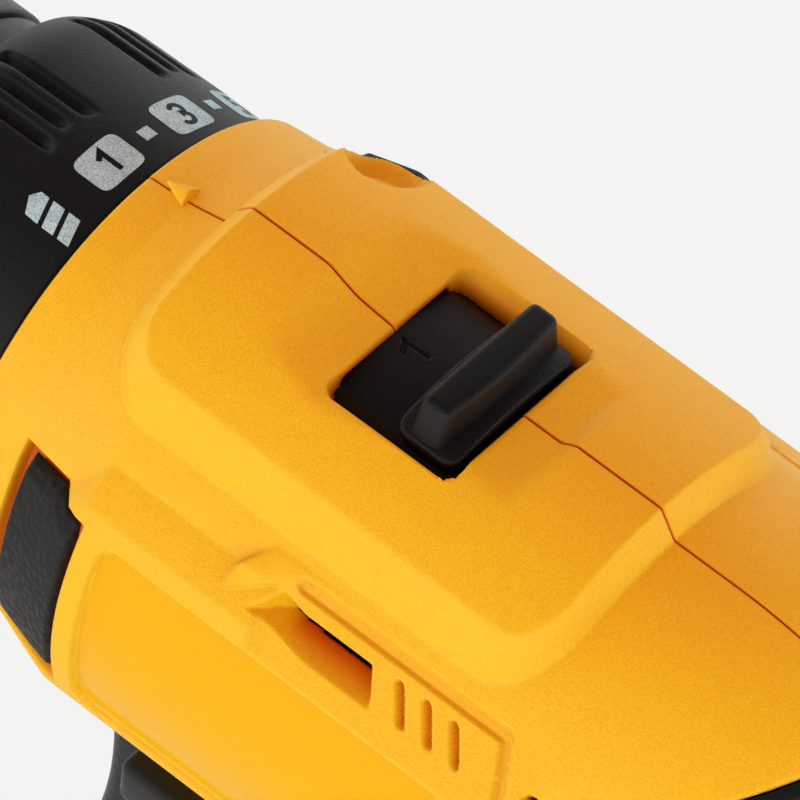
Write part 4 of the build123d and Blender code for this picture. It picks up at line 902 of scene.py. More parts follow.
    def groove_depth(self, back: float, turn: float) -> float:
        """Depth of the bent channel and the three blind slots on the hood."""
        girth = self.girth(turn)
        soft = self.groove_soft
        middle, angle, half_length, half_width = self.channel
        level = self.girth(angle)
        along = box_distance(back - middle, girth - level, half_length, half_width, 0.7)
        bent, lean, lowest, half = self.channel_foot
        fall = lean * ramp(turn, angle + 0.1, lowest)
        down = max(abs(back - bent - fall) - half, level - girth, girth - self.girth(lowest))
        depth = self.channel_depth * (1.0 - ease(min(along, down), -soft, soft))
        top, foot = self.slot_turns
        half, lean, corner, slot_depth = self.slot_shape
        for start in self.slots:
            across = back - start - lean * ramp(turn, top, foot)
            height = girth - self.girth((top + foot) / 2)
            slot = box_distance(across, height, half, self.girth(foot - top) / 2, corner)
            depth = max(depth, slot_depth * (1.0 - ease(slot, -soft, soft)))
        return depth

    def rear_slot(self, back: float, turn: float) -> float:
        """Distance to the cooling slot near the tail, negative inside."""
        place, angle = self.rear_slot_at
        return box_distance(back - place, self.girth(turn) - self.girth(angle), *self.rear_slot_half, 0.4)

    def window_distance(self, back: float, turn: float) -> float:
        """Distance to the selector's window, negative inside."""
        along, half, reach = back - self.window_mid, self.window_half, self.window_reach
        return box_distance(along, self.girth(turn), half, reach, self.window_corner)

    def window_wall(self, back: float, turn: float) -> float:
        """Depth of the wall round the window: shallow in front and behind, deep at its sides."""
        shallow, deeper = self.window_drop
        depth = shallow + deeper * ease(self.girth(turn), *self.window_side)
        return depth * (1.0 - ease(self.window_distance(back, turn), *self.window_face))

    def radius(self, back: float, turn: float, side: int = 1) -> float:
        """The yellow housing's outer radius, holes and recesses included.

        Args:
            back: Distance behind the rim's front face.
            turn: Angle from the top.
            side: 1 for the left half and -1 for the right.

        Returns:
            The radius in millimetres.
        """
        radius = self.plain(back)
        stage = self.platform_share(back, turn, side)
        radius += (self.platform_r - radius) * stage + self.frame_height(back, turn, side) * (1.0 - stage)
        if side < 0:
            slim = ease(turn, *self.right_flat_turns) * ease(back, *self.right_flat_span)
            radius -= self.right_flat * (1.0 - stage) * slim
        radius -= self.dish_depth(back, turn)
        radius -= self.panel * self.panel_share(back, turn, side)
        radius -= self.pad_depth * self.pad_share(back, turn, side)
        radius -= self.vent_depth(back, turn)
        radius -= self.groove_depth(back, turn)
        radius -= self.window_wall(back, turn)
        radius -= self.rear_slot_depth * (1.0 - ease(self.rear_slot(back, turn), -0.2, 0.12))
        depth, half = self.seam_groove
        radius -= depth * (1.0 - ramp(self.girth(turn), 0.0, half)) ** 1.5
        depth, width = self.tongue_lip
        radius -= depth * (1.0 - ramp(self.tongue_end(turn) - back, 0.0, width)) ** 2
        return radius

    def is_hole(self, back: float, turn: float) -> bool:
        """Whether the wall is open here."""
        if self.window_distance(back, turn) < self.window_cut or self.rear_slot(back, turn) < -0.24:
            return True
        return self.vent_depth(back, turn) > self.vent_hole

    def recess_share(self, back: float, turn: float, side: int) -> float:
        """How much painted shade a place gets: the seam, recesses and openings are painted a redder colour for the
        shade there.
        """
        seam = 1.0 - ramp(self.girth(turn), 0.05, 0.24)
        window = ramp(self.window_wall(back, turn), 0.0, 0.4)
        vent = ramp(self.vent_depth(back, turn), *self.vent_tint) * ramp(back, *self.vent_tint_span)
        slots = 0.5 * ramp(self.groove_depth(back, turn), 0.3, 1.0)
        rear = 1.0 - ramp(self.rear_slot(back, turn), -0.1, 0.1)
        pad = ramp(self.pad_share(back, turn, side), 0.2, 0.8)
        return max(seam, window, vent, slots, rear, pad)

    def snapped(self, back: float, turn: float) -> tuple[float, float]:
        """Moves a grid place near the window's cut or upper edge onto it, so that both run smooth."""
        near = self.window_distance(back, turn)
        cut, top = self.window_cut, self.window_face[1]
        if not cut - self.snap < near < top + self.snap:
            return back, turn
        gap = near - (cut if near < (cut + top) / 2 else top)
        step = 0.02
        angle = math.degrees(step / self.full_r)
        along = self.window_distance(back + step, turn) - self.window_distance(back - step, turn)
        across = self.window_distance(back, turn + angle) - self.window_distance(back, turn - angle)
        along, across = along / (2.0 * step), across / (2.0 * step)
        scale = gap / max(along * along + across * across, 0.25)
        return back - scale * along, turn - math.degrees(scale * across / self.full_r)

    def wall_share(self, back: float, turn: float) -> float:
        """The wall is thin round the window, where the slider passes under it."""
        thin, *span = self.thin_wall
        return thin + (1.0 - thin) * ease(self.window_distance(back, turn), *span)


FORM = BarrelForm()


@dataclass
class HousingSkin:
    """One yellow clamshell half: the barrel's skin, and the handle with its foot.

    Attributes:
        side: Which half.
        wall: Wall thickness.
        seam: Half the gap at the seam, as an angle.
        lift: How much this half stands proud at the seam.
    """

    side: Side
    wall: float = 1.9
    seam: float = 0.02
    lift: float = 0.0

    def columns(self) -> list[float]:
        """Grid lines from the rim to the tongue's end."""
        lines = graded(
            0.0, (0.6, 0.15), (4.6, 0.8), (5.4, 0.2), (6.8, 0.7), (7.4, 0.15), (9.8, 0.6), (14.2, 0.2),
            (18.2, 0.25), (20.0, 0.6), (21.0, 0.17), (27.6, 0.6), (30.26, 0.66), (32.66, 0.4), (41.2, 0.28),
            (45.14, 0.66), (47.14, 0.4), (49.2, 0.68), (52.8, 0.2), (62.8, 0.28), (66.5, 0.2),
        )
        shares = graded(0.0, (0.9, 0.05), (0.97, 0.024), (1.0, 0.01))[1:]
        return lines + [TONGUE_LINES + share for share in shares]

    def rows(self) -> list[float]:
        """Grid lines round the half, in degrees from the top."""
        return graded(
            self.seam, (0.6, 0.12), (3.2, 0.8), (15.355, 1.1), (19.175, 0.764), (20.0, 0.4), (32.0, 0.75),
            (43.0, 0.5), (47.4, 0.4), (59.4, 0.3), (61.8, 0.4), (65.6, 0.27), (70.0, 1.1), (104.0, 2.2),
            (106.4, 0.27), (110.4, 0.5), (179.8, 3.0),
        )

    def back_of(self, column: float, turn: float) -> float:
        """The distance behind the rim that a grid line stands for."""
        if column <= TONGUE_LINES:
            return column
        return FORM.tongue_base + (column - TONGUE_LINES) * (FORM.tongue_end(turn) - FORM.tongue_base)

    def place(self, column: float, turn: float) -> Vector:
        """A grid vertex."""
        back, turn = FORM.snapped(self.back_of(column, turn), turn)
        return around(back, turn, FORM.radius(back, turn, self.side.value) + self.lift, self.side.value)

    def barrel(self) -> Piece:
        """The barrel's skin with its window and vent open."""
        bm = curved_grid(self.columns(), self.rows(), self.place)
        open_faces = [face for face in bm.faces if FORM.is_hole(*self.spot(face))]
        bmesh.ops.delete(bm, geom=open_faces, context="FACES")
        bmesh.ops.dissolve_degenerate(bm, dist=0.004 * MM, edges=bm.edges[:])
        bm.normal_update()
        turn_out(bm)
        for face in bm.faces:
            back, turn = self.spot(face)
            face.material_index = int(FORM.panel_share(back, turn, self.side.value) > 0.9)
        piece = new_piece(f"{self.side.name.lower()}_barrel_skin", bm)
        thin = piece.vertex_groups.new(name="wall")
        # Each vertex's share of the painted shade for seams, recesses and openings goes into the "recess"
        # attribute.
        shares = []
        for vert in piece.data.vertices:
            place = vert.co / MM
            turn = math.degrees(math.atan2(self.side.value * place.y, place.z - AXIS_Z))
            thin.add([vert.index], FORM.wall_share(RIM_X - place.x, turn), "REPLACE")
            shares.append(FORM.recess_share(RIM_X - place.x, turn, self.side.value))
        piece.data.attributes.new("recess", "FLOAT", "POINT").data.foreach_set("value", shares)
        add_wall(piece, self.wall).vertex_group = thin.name
        return piece

    def spot(self, face: bmesh.types.BMFace) -> tuple[float, float]:
        """A face's distance behind the rim and its angle from the top."""
        centre = face.calc_center_median() / MM
        return RIM_X - centre.x, math.degrees(math.atan2(self.side.value * centre.y, centre.z - AXIS_Z))

    def build(self, material: Material, smooth: Material) -> None:
        """Builds and dresses the half; its side panel is smooth."""
        node = f"{self.side.name.lower()}_housing"
        barrel = self.barrel()
        dress(barrel, "drill_body", material, (node,))
        barrel.data.materials.append(smooth)
        handle = HandleForm().skin(self.side)
        dress(handle, "drill_body", material, (node,))


@dataclass
class HandleForm:
    """The handle's and foot's moulded form, section by section.

    Attributes:
        spine: Sections upwards, each with its height, centre in x, half length and half width.
        square: Squareness of the handle's sections, and how much more the foot has.
        square_span: Heights over which that fades.
        foot_low: Underside of the foot.
        neck: Height above which the rows close up under the barrel.
        top: Height of the uppermost row before that.
        overlap: How far the skin reaches into the barrel.
        wall: Wall thickness.
        seam: Half the gap at the seam.
        grip_low: Lower edge of the rubber grip's recess.
        grip_high: Its upper edge.
        grip_front: Its front edge in x.
        grip_step: Its depth.
        grip_gap: Gap between the rubber and the recess.
        grip_proud: How far the rubber stands over the shell.
        grip_edge: Depth and width of the rubber's rounded edge.
        grip_wall: Thickness of the rubber.
        rib_middle: Height of one rib on the back of the grip.
        rib_pitch: Distance between the ribs.
        rib_rise: Their height.
        trigger_back: Rear end of the trigger's opening, in x.
        trigger_room: How far that opening reaches past the trigger in front, and its gap.
        lever_room: Room round the direction lever, which slides across.
        rail_span: Rear and front end of the opening for the battery's rails.
        rail_half: Half its width.
        rail_low: Its lower end, below the foot.
    """

    spine: tuple[Quad, ...] = (
        (37.0, 1.0, 44.0, 35.0), (54.0, 1.0, 44.0, 35.0), (58.5, 1.0, 41.5, 32.8), (60.5, 1.0, 36.0, 29.0),
        (62.5, 0.5, 30.5, 24.6), (66.0, -0.8, 25.2, 20.6), (71.0, -1.9, 21.6, 18.2), (80.0, -2.5, 20.0, 17.0),
        (93.0, -2.9, 19.4, 16.6), (106.0, -3.0, 19.3, 16.5), (119.0, -1.6, 20.6, 16.9),
        (132.0, 0.5, 22.4, 17.6), (140.0, 1.6, 24.0, 18.0), (146.0, 2.6, 26.5, 18.6),
        (150.0, 3.2, 29.0, 19.4), (156.0, 3.8, 32.0, 20.6),
    )
    square: Span = (2.7, 2.6)
    square_span: Span = (56.0, 68.0)
    foot_low: float = 37.0
    neck: float = 139.0
    top: float = 156.0
    overlap: float = 1.5
    wall: float = 2.0
    seam: float = 0.01
    grip_low: float = 66.0
    grip_high: float = 132.0
    grip_front: float = 7.0
    grip_step: float = 1.5
    grip_gap: float = 0.3
    grip_proud: float = 0.25
    grip_edge: Span = (0.7, 1.2)
    grip_wall: float = 1.3
    rib_middle: float = 99.0
    rib_pitch: float = 5.2
    rib_rise: float = 0.45
    trigger_back: float = 8.0
    trigger_room: Span = (5.0, 0.35)
    lever_room: Triple = (0.3, 5.0, 0.3)
    rail_span: Span = (-36.3, 60.0)
    rail_half: float = 28.3
    rail_low: float = 36.0

    def section(self, z: float) -> Quad:
        """The handle's section at a height.

        Args:
            z: Height over the base.

        Returns:
            Centre in x, half length, half width and squareness.
        """
        for (z0, *first), (z1, *second) in zip(self.spine, self.spine[1:]):
            if z <= z1:
                share = (z - z0) / (z1 - z0)
                centre, length, width = (a + (b - a) * share for a, b in zip(first, second))
                break
        least, more = self.square
        return centre, length, width, least + more * (1.0 - ease(z, *self.square_span))

    def outline(self, z: float, angle: float, inset: float = 0.0) -> tuple[float, float]:
        """Place in x and y on the section at a height; angle 0 is the front and 180 the back."""
        centre, length, width, square = self.section(z)
        turn = math.radians(angle)
        c, s = math.cos(turn), math.sin(turn)
        reach = (abs(c) ** square + abs(s) ** square) ** (-1.0 / square)
        return centre + (length - inset) * reach * c, max((width - inset) * reach * s, self.seam)

    def top_at(self, angle: float) -> float:
        """Height where the skin ends at an angle, just inside the barrel."""
        z = self.top
        for _ in range(6):
            x, y = self.outline(z, angle)
            surface = AXIS_Z - math.sqrt(max(FORM.plain(RIM_X - x) ** 2 - y * y, 0.0))
            z = min(self.top, surface + self.overlap)
        return z

    def point(self, z: float, angle: float, side: int, inset: float = 0.0) -> Vector:
        """A point on the handle's skin; above the neck the rows close up under the barrel."""
        if z > self.neck:
            z = self.neck + (z - self.neck) * (self.top_at(angle) - self.neck) / (self.top - self.neck)
        x, y = self.outline(z, angle, inset)
        return Vector((x, side * y, z)) * MM

    def heights(self) -> list[float]:
        """Rows up the handle."""
        return graded(
            self.foot_low, (38.0, 0.5), (53.0, 5.0), (64.0, 0.8), (72.0, 1.2), (130.0, 2.2), (self.neck, 1.2),
            (self.top, 1.2),
        )

    def recess(self, z: float, x: float) -> float:
        """How deep the shell is let in for the rubber grip."""
        low, high, front, soft = self.grip_low, self.grip_high, self.grip_front, self.grip_gap
        tall = ease(z, low - soft, low + soft) * (1.0 - ease(z, high - soft, high + soft))
        return self.grip_step * tall * (1.0 - ease(x, front - 0.4, front + 0.4))

    def skin(self, side: Side) -> Piece:
        """One half of the handle and foot, with the trigger's opening cut."""
        def place(angle: float, z: float) -> Vector:
            outer = self.point(z, angle, side.value)
            depth = self.recess(z, outer.x / MM)
            return self.point(z, angle, side.value, depth) if depth > 0.0 else outer

        angles = graded(0.0, (20.0, 2.0), (160.0, 2.5), (180.0, 2.0))
        bm = curved_grid(angles, self.heights(), place)
        turn_out(bm, from_handle)
        piece = new_piece(f"{side.name.lower()}_handle_skin", bm)
        add_wall(piece, self.wall)
        self.cut_openings(piece)
        return piece

    def cut_openings(self, piece: Piece) -> None:
        """Opens the skin for the trigger, the direction lever and the battery's rails."""
        low, high = node_box("trigger")
        ahead, gap = self.trigger_room
        lever_low, lever_high = node_box("direction_lever")
        slack = Vector(self.lever_room)
        rear, front = self.rail_span
        rail_top = node_box("battery_cover")[1].z + 0.3
        cutters = (
            (Vector((self.trigger_back, low.y - gap, low.z - gap)),
             Vector((high.x + ahead, high.y + gap, high.z + gap))),
            (lever_low - slack, lever_high + slack),
            (Vector((rear, -self.rail_half, self.rail_low)), Vector((front, self.rail_half, rail_top))),
        )
        for index, (start, end) in enumerate(cutters):
            tool = new_piece(f"cutter_{index}", rounded_block(start, end, 0.4, 2))
            cut = piece.modifiers.new("opening", "BOOLEAN")
            cut.operation = "DIFFERENCE"
            cut.solver = "EXACT"
            cut.object = tool
            apply_modifiers(piece)
            bpy.data.objects.remove(tool)

    def grip(self, side: Side) -> Piece:
        """The rubber over one side and the back of the handle."""
        low, high = self.grip_low + self.grip_gap, self.grip_high - self.grip_gap
        depth, width = self.grip_edge

        def front_angle(z: float) -> float:
            centre, length, *_ = self.section(z)
            share = (self.grip_front - 0.35 - centre) / length
            return math.degrees(math.acos(min(1.0, max(-1.0, share)))) * 0.96 + 3.0

        def place(share: float, z: float) -> Vector:
            angle = front_angle(z) + (180.0 - front_angle(z)) * share
            edge = min(share * 30.0, z - low, high - z)
            inset = depth * (1.0 - ramp(edge, 0.0, width)) ** 2 - self.grip_proud - self.ribs(z, share)
            return self.point(z, angle, side.value, inset)

        shares = graded(0.0, (0.06, 0.012), (1.0, 0.03))
        heights = graded(low, (68.0, 0.3), (130.0, 0.5), (high, 0.3))
        bm = curved_grid(shares, heights, place)
        turn_out(bm, from_handle)
        piece = new_piece(f"{side.name.lower()}_grip_skin", bm)
        add_wall(piece, self.grip_wall)
        return piece

    def ribs(self, z: float, share: float) -> float:
        """Height of the soft cross ribs on the back of the grip."""
        wave = 0.5 + 0.5 * math.cos(math.tau * (z - self.rib_middle) / self.rib_pitch)
        tall = ease(z, 72.0, 78.0) * (1.0 - ease(z, 118.0, 124.0))
        return self.rib_rise * wave * ease(share, 0.25, 0.5) * tall


@dataclass
class RearCover:
    """The black cap behind the housing's tongue.

    Attributes:
        gap: Gap to the housing's edge.
        wall: Wall thickness.
        swell: How much the flank stands out beside the frame.
        swell_turns: Angles over which it rises, and over which it sinks again.
        swell_end: Where it ends along the barrel.
        edge_fall: Depth and width of the rounded front edge.
        groove: Depth of the groove behind the edge.
        slots: Number of cooling slots on each side.
        pitch: Distance between slots.
        slot_half: Half a slot's width and length.
        slot_middle: Middle of the slots along the barrel.
        slot_depth: Their depth.
        step: Depth of the step on the end face.
    """

    gap: float = 0.25
    wall: float = 2.0
    swell: float = 0.9
    swell_turns: tuple[Span, Span] = ((60.0, 64.0), (96.0, 112.0))
    swell_end: Span = (69.5, 74.0)
    edge_fall: Span = (0.3, 0.6)
    groove: float = 0.45
    slots: int = 5
    pitch: float = 5.4
    slot_half: Span = (1.2, 6.5)
    slot_middle: float = 85.5
    slot_depth: float = 1.7
    step: float = 0.35

    def radius(self, back: float, turn: float) -> float:
        """The cap's outer radius, with its front edge and vents."""
        rise, fall = self.swell_turns
        flank = ease(turn, *rise) * (1.0 - ease(turn, *fall)) * (1.0 - ease(back, *self.swell_end))
        behind = back - self.start(turn)
        depth, width = self.edge_fall
        radius = FORM.plain(back) + self.swell * flank
        radius -= depth * (1.0 - ramp(behind, 0.0, width)) ** 2
        radius -= self.groove * ease(behind, 1.6, 2.0) * (1.0 - ease(behind, 2.8, 3.2))
        height = FORM.full_r * math.cos(math.radians(turn))
        nearest = round(height / self.pitch) * self.pitch
        if abs(nearest) <= self.pitch * (self.slots - 1) / 2 + 0.1:
            half_width, half_length = self.slot_half
            slot = max(abs(height - nearest) - half_width, abs(back - self.slot_middle) - half_length)
            radius -= self.slot_depth * (1.0 - ease(slot, -0.3, 0.3))
        return radius

    def start(self, turn: float) -> float:
        """Where the cap begins at an angle."""
        return FORM.tongue_end(turn) + self.gap

    def place(self, share: float, turn: float, side: int) -> Vector:
        """A grid vertex, from the front edge over the rounded end to its middle."""
        start = self.start(turn)
        end = FORM.tail_end
        if share <= 1.0:
            back = start + (end - FORM.tail_edge - start) * share
            return around(back, turn, self.radius(back, turn), side)
        corner_r = FORM.plain(end - FORM.tail_edge)
        if share <= 2.0:
            angle = (share - 1.0) * math.pi / 2
            back = end - FORM.tail_edge + FORM.tail_edge * math.sin(angle)
            return around(back, turn, corner_r - FORM.tail_edge * (1.0 - math.cos(angle)), side)
        inner = (corner_r - FORM.tail_edge) * (3.0 - share)
        return around(end - self.step * ease(share, 2.55, 2.65), turn, max(inner, 0.02), side)

    def build(self, material: Material) -> None:
        """Builds and dresses the cap."""
        shares = graded(
            0.0, (0.06, 0.006), (0.2, 0.014), (1.0, 0.02), (2.0, 0.125), (2.5, 0.17), (2.7, 0.04),
            (2.98, 0.14),
        )
        turns = graded(0.0, (58.0, 2.0), (122.0, 0.8), (180.0, 2.5))
        whole = bmesh.new()
        for side in Side:
            half = curved_grid(shares, turns, lambda share, turn: self.place(share, turn, side.value))
            turn_out(half)
            take_in(whole, half)
        bmesh.ops.remove_doubles(whole, verts=whole.verts[:], dist=0.03 * MM)
        piece = new_piece("rear_cover_shell", whole)
        add_wall(piece, self.wall)
        dress(piece, "drill_body", material, ("rear_cover",))


@dataclass
class SidePad:
    """A grained rubber pad in its recess behind the rim.

    Attributes:
        side: Which side it is on.
        gap: Gap to the recess's wall.
        front_gap: Gap at its front.
        proud: How far it stands over the barrel.
        edge: Depth and width of its rounded edges.
        bevel: Depth and width of the flat bevel along its upper edge.
        wall: Thickness of the rubber.
    """

    side: Side
    gap: float = 0.6
    front_gap: float = 1.3
    proud: float = 1.0
    edge: Span = (0.9, 0.7)
    bevel: Span = (0.8, 1.8)
    wall: float = 1.2

    def place(self, share: float, back: float) -> Vector:
        """A grid vertex."""
        gap = math.degrees(self.gap / FORM.full_r)
        top = FORM.pad_edge(back, self.side.value) + gap
        bottom = FORM.pad_low - gap
        turn = top + (bottom - top) * share
        girth = FORM.girth(turn)
        front, rear = self.ends()
        inside = min(girth - FORM.girth(top), FORM.girth(bottom) - girth, back - front, rear - back)
        depth, width = self.edge
        fall = depth * (1.0 - ramp(inside, 0.0, width)) ** 2
        depth, width = self.bevel
        fall += depth * (1.0 - ramp(girth - FORM.girth(top), 0.0, width))
        return around(back, turn, FORM.plain(back) + self.proud - fall, self.side.value)

    def ends(self) -> tuple[float, float]:
        """The pad's front and rear edge."""
        return FORM.pad_span[0] + self.front_gap, FORM.pad_rear(self.side.value) - self.gap

    def build(self) -> Piece:
        """The pad's mesh."""
        front, rear = self.ends()
        shares = graded(0.0, (0.09, 0.0075), (0.95, 0.025), (1.0, 0.0075))
        backs = graded(front, (front + 0.9, 0.1), (13.4, 0.4), (rear - 0.9, 0.15), (rear, 0.1))
        bm = curved_grid(shares, backs, self.place)
        turn_out(bm)
        piece = new_piece(f"{self.side.name.lower()}_pad_skin", bm)
        add_wall(piece, self.wall)
        return piece


@dataclass
class Selector:
    """The two-speed slider: crowned plate with an engraved mark, and a thumb rib on a plinth.

    Attributes:
        plate_r: Radius of the plate's crown.
        plate_fall: How much lower its sides lie.
        plate_span: Its front and rear edge.
        plinth_span: The plinth's front and rear edge.
        plinth_half: Half the plinth's width.
        plinth_r: Radius of its top.
        rib_front: The rib's front edge at its foot and its top.
        rib_rear: The rib's rear edge at its foot and its top.
        rib_left: The rib's left end at its foot and its top.
        rib_right: The rib's right end at its foot and its top.
        rib_top: Height of the rib's top over the barrel's axis.
        bow: How much the rib's rear edge bows out in its middle.
        mark: Middle of the engraved stroke, and half its length.
        mark_depth: Its depth.
        plate_wall: Thickness of the plate.
        plinth_round: Rounding of the plinth's corners and of its upper edge.
        rib_round: Rounding of the rib's edges.
        strips: Number of strips on each side of the middle, where a block follows a curve.
    """

    plate_r: float = 30.4
    plate_fall: float = 0.7
    plate_span: Span = (29.6, 54.4)
    plinth_span: Span = (38.6, 46.1)
    plinth_half: float = 9.5
    plinth_r: float = 32.7
    rib_front: Span = (40.0, 40.2)
    rib_rear: Span = (43.9, 43.2)
    rib_left: Span = (9.3, 7.5)
    rib_right: Span = (-9.2, -9.0)
    rib_top: float = 35.8
    bow: float = 0.9
    mark: Span = (33.7, 1.75)
    mark_depth: float = 0.4
    plate_wall: float = 1.0
    plinth_round: Span = (1.7, 0.45)
    rib_round: float = 0.75
    strips: int = 7

    def plate(self) -> Piece:
        """The plate with its engraved stroke and flag."""
        def place(back: float, girth: float) -> Vector:
            stroke = max(abs(back - self.mark[0]) - self.mark[1], abs(girth) - 0.3)
            flag_back = back - self.mark[0] + self.mark[1]
            flag = max(abs(flag_back - 0.45 - 0.5 * girth) - 0.3, abs(girth - 0.75) - 0.75)
            depth = self.mark_depth * (1.0 - ease(min(stroke, flag), -0.1, 0.1))
            radius = self.plate_r - self.plate_fall * ease(abs(girth), 7.6, 10.0) - depth
            return around(back, math.degrees(girth / self.plate_r), radius)

        start, end = self.plate_span
        backs = graded(start, (31.6, 0.5), (35.8, 0.1), (end, 0.6))
        girths = graded(
            -14.6, (-9.8, 0.6), (-6.6, 0.25), (-1.0, 0.5), (2.0, 0.1), (6.6, 0.5), (9.8, 0.25), (14.6, 0.6)
        )
        bm = curved_grid(backs, girths, place)
        turn_out(bm)
        piece = new_piece("selector_slider", bm)
        add_wall(piece, self.plate_wall)
        return piece

    def slice_across(self, bm: Mesh, half: float) -> None:
        """Cuts a block into strips across the barrel, so that it can follow a curve."""
        for step in range(1 - self.strips, self.strips):
            slice_at(bm, Vector((0.0, half * step / self.strips, 0.0)), Vector((0.0, 1.0, 0.0)))

    def plinth(self) -> Piece:
        """The rounded plinth, bent round the barrel."""
        front, rear = self.plinth_span
        low = Vector((front, -self.plinth_half, self.plate_r - self.plate_fall - 0.9))
        high = Vector((rear, self.plinth_half, self.plinth_r))
        bm = block(low, high)
        corner, edge = self.plinth_round
        round_off(bm, [e for e in bm.edges if abs(e.verts[0].co.z - e.verts[1].co.z) > 1.0], corner, 6)
        round_off(bm, [e for e in bm.edges if all(v.co.z > high.z - 0.01 for v in e.verts)], edge, 3)
        self.slice_across(bm, self.plinth_half)
        for vert in bm.verts:
            back, girth, radius = vert.co
            vert.co = around(back, math.degrees(girth / self.plinth_r), radius)
        bmesh.ops.recalc_face_normals(bm, faces=bm.faces[:])
        return new_piece("selector_plinth", bm)

    def rib(self) -> Piece:
        """The thumb rib with a flat top, a sloping left end and a bowed rear face."""
        bm = bmesh.new()
        bmesh.ops.create_cube(bm, size=2.0)
        for vert in bm.verts:
            top = int(vert.co.z > 0.0)
            back = self.rib_rear[top] if vert.co.x > 0.0 else self.rib_front[top]
            y = self.rib_left[top] if vert.co.y > 0.0 else self.rib_right[top]
            vert.co = Vector((back, y, self.rib_top if top else self.plinth_r - 2.5))
        round_off(bm, bm.edges[:], self.rib_round, 5)
        self.slice_across(bm, self.rib_left[0])
        for vert in bm.verts:
            back, y, z = vert.co
            rear = ease(back, sum(self.rib_front) / 2, sum(self.rib_rear) / 2)
            share = 1.0 - (y / self.rib_left[0]) ** 2
            x = RIM_X - back - self.bow * rear * share
            vert.co = Vector((x, y, AXIS_Z + z - 0.3 * (1.0 - share))) * MM
        bmesh.ops.recalc_face_normals(bm, faces=bm.faces[:])
        return new_piece("selector_rib", bm)

    def build(self, material: Material) -> None:
        """Builds and dresses the slider."""
        for piece in (self.plate(), self.plinth(), self.rib()):
            dress(piece, "gear_selector", material, ("gear_selector",))


@dataclass
class IndexPointer:
    """The small pyramid on the rim that points at the collar's numbers.

    Attributes:
        tip: The tip's distance behind the rim.
        base: The base's distance behind the rim.
        half: Half the base's width.
        offset: How far it sits to the left of the seam.
        rise: Its height at the base.
        edge: Rounding of its edges.
    """

    tip: float = 1.7
    base: float = 5.1
    half: float = 1.35
    offset: float = -0.45
    rise: float = 1.5
    edge: float = 0.12

    def build(self, material: Material) -> None:
        """Builds and dresses the pointer."""
        barrel = FORM.plain(self.base)
        rim, low, side = FORM.rim_r, barrel - 0.6, barrel + 0.35
        bm = bmesh.new()
        spots = (
            (self.tip, 0.0, rim - 0.3), (self.base, self.half, low), (self.base, -self.half, low),
            (self.tip + 0.25, 0.0, rim + 0.75), (self.base - 0.35, 0.0, barrel + self.rise - 0.4),
            (self.base - 0.1, self.half, side), (self.base - 0.1, -self.half, side),
        )
        verts = []
        for back, across, radius in spots:
            turn = math.degrees((across + self.offset) / FORM.rim_r)
            verts.append(bm.verts.new(around(back, turn, radius)))
        made = bmesh.ops.convex_hull(bm, input=verts)
        loose = {g for g in made["geom_interior"] + made["geom_unused"] if isinstance(g, bmesh.types.BMVert)}
        bmesh.ops.delete(bm, geom=list(loose), context="VERTS")
        round_off(bm, bm.edges[:], self.edge * MM, 2)
        bmesh.ops.recalc_face_normals(bm, faces=bm.faces[:])
        dress(new_piece("index_pointer", bm), "drill_body", material)


class Stroke:
    """Plain printed numerals drawn as strokes, one unit high."""

    width = 0.165

    @staticmethod
    def arc(x: float, y: float, radius: float, start: float, end: float, steps: int = 14) -> Line:
        """Points on a circular arc, angles in degrees."""
        angles = (math.radians(start + (end - start) * i / steps) for i in range(steps + 1))
        return [(x + radius * math.cos(a), y + radius * math.sin(a)) for a in angles]

    @classmethod
    def numeral(cls, digit: str) -> list[Line]:
        """The strokes of one odd numeral."""
        shapes = {
            "1": [[(-0.2, 0.2), (0.06, 0.42), (0.06, -0.42)]],
            "3": [cls.arc(0.0, 0.2, 0.22, 160, -80) + cls.arc(0.0, -0.19, 0.23, 80, -160)],
            "5": [[(0.22, 0.42), (-0.18, 0.42), (-0.2, 0.06)] + cls.arc(0.0, -0.16, 0.26, 130, -150)],
            "7": [[(-0.24, 0.42), (0.24, 0.42), (-0.06, -0.42)]],
            "9": [cls.arc(0.0, 0.18, 0.24, 0, 360), [(0.24, 0.18), (0.2, -0.16), (0.02, -0.42)]],
        }
        return shapes[digit]

    @classmethod
    def ribbon(cls, bm: Mesh, line: Line, place: Place) -> None:
        """Lays one stroke as a flat ribbon with mitred corners."""
        rows = []
        for index, (x, y) in enumerate(line):
            before = line[max(index - 1, 0)]
            after = line[min(index + 1, len(line) - 1)]
            first = Vector((x - before[0], y - before[1])).normalized()
            second = Vector((after[0] - x, after[1] - y)).normalized()
            way = (first + second).normalized()
            normal = Vector((-way.y, way.x))
            straight = first if first.length > 0 else second
            stretch = 1.0 / max(0.4, normal.dot(Vector((-straight.y, straight.x))))
            half = normal * cls.width / 2 * stretch
            rows.append([bm.verts.new(place(x + way * half.x, y + way * half.y)) for way in (1, -1)])
        for (a, b), (c, d) in zip(rows, rows[1:]):
            bm.faces.new((a, b, d, c))


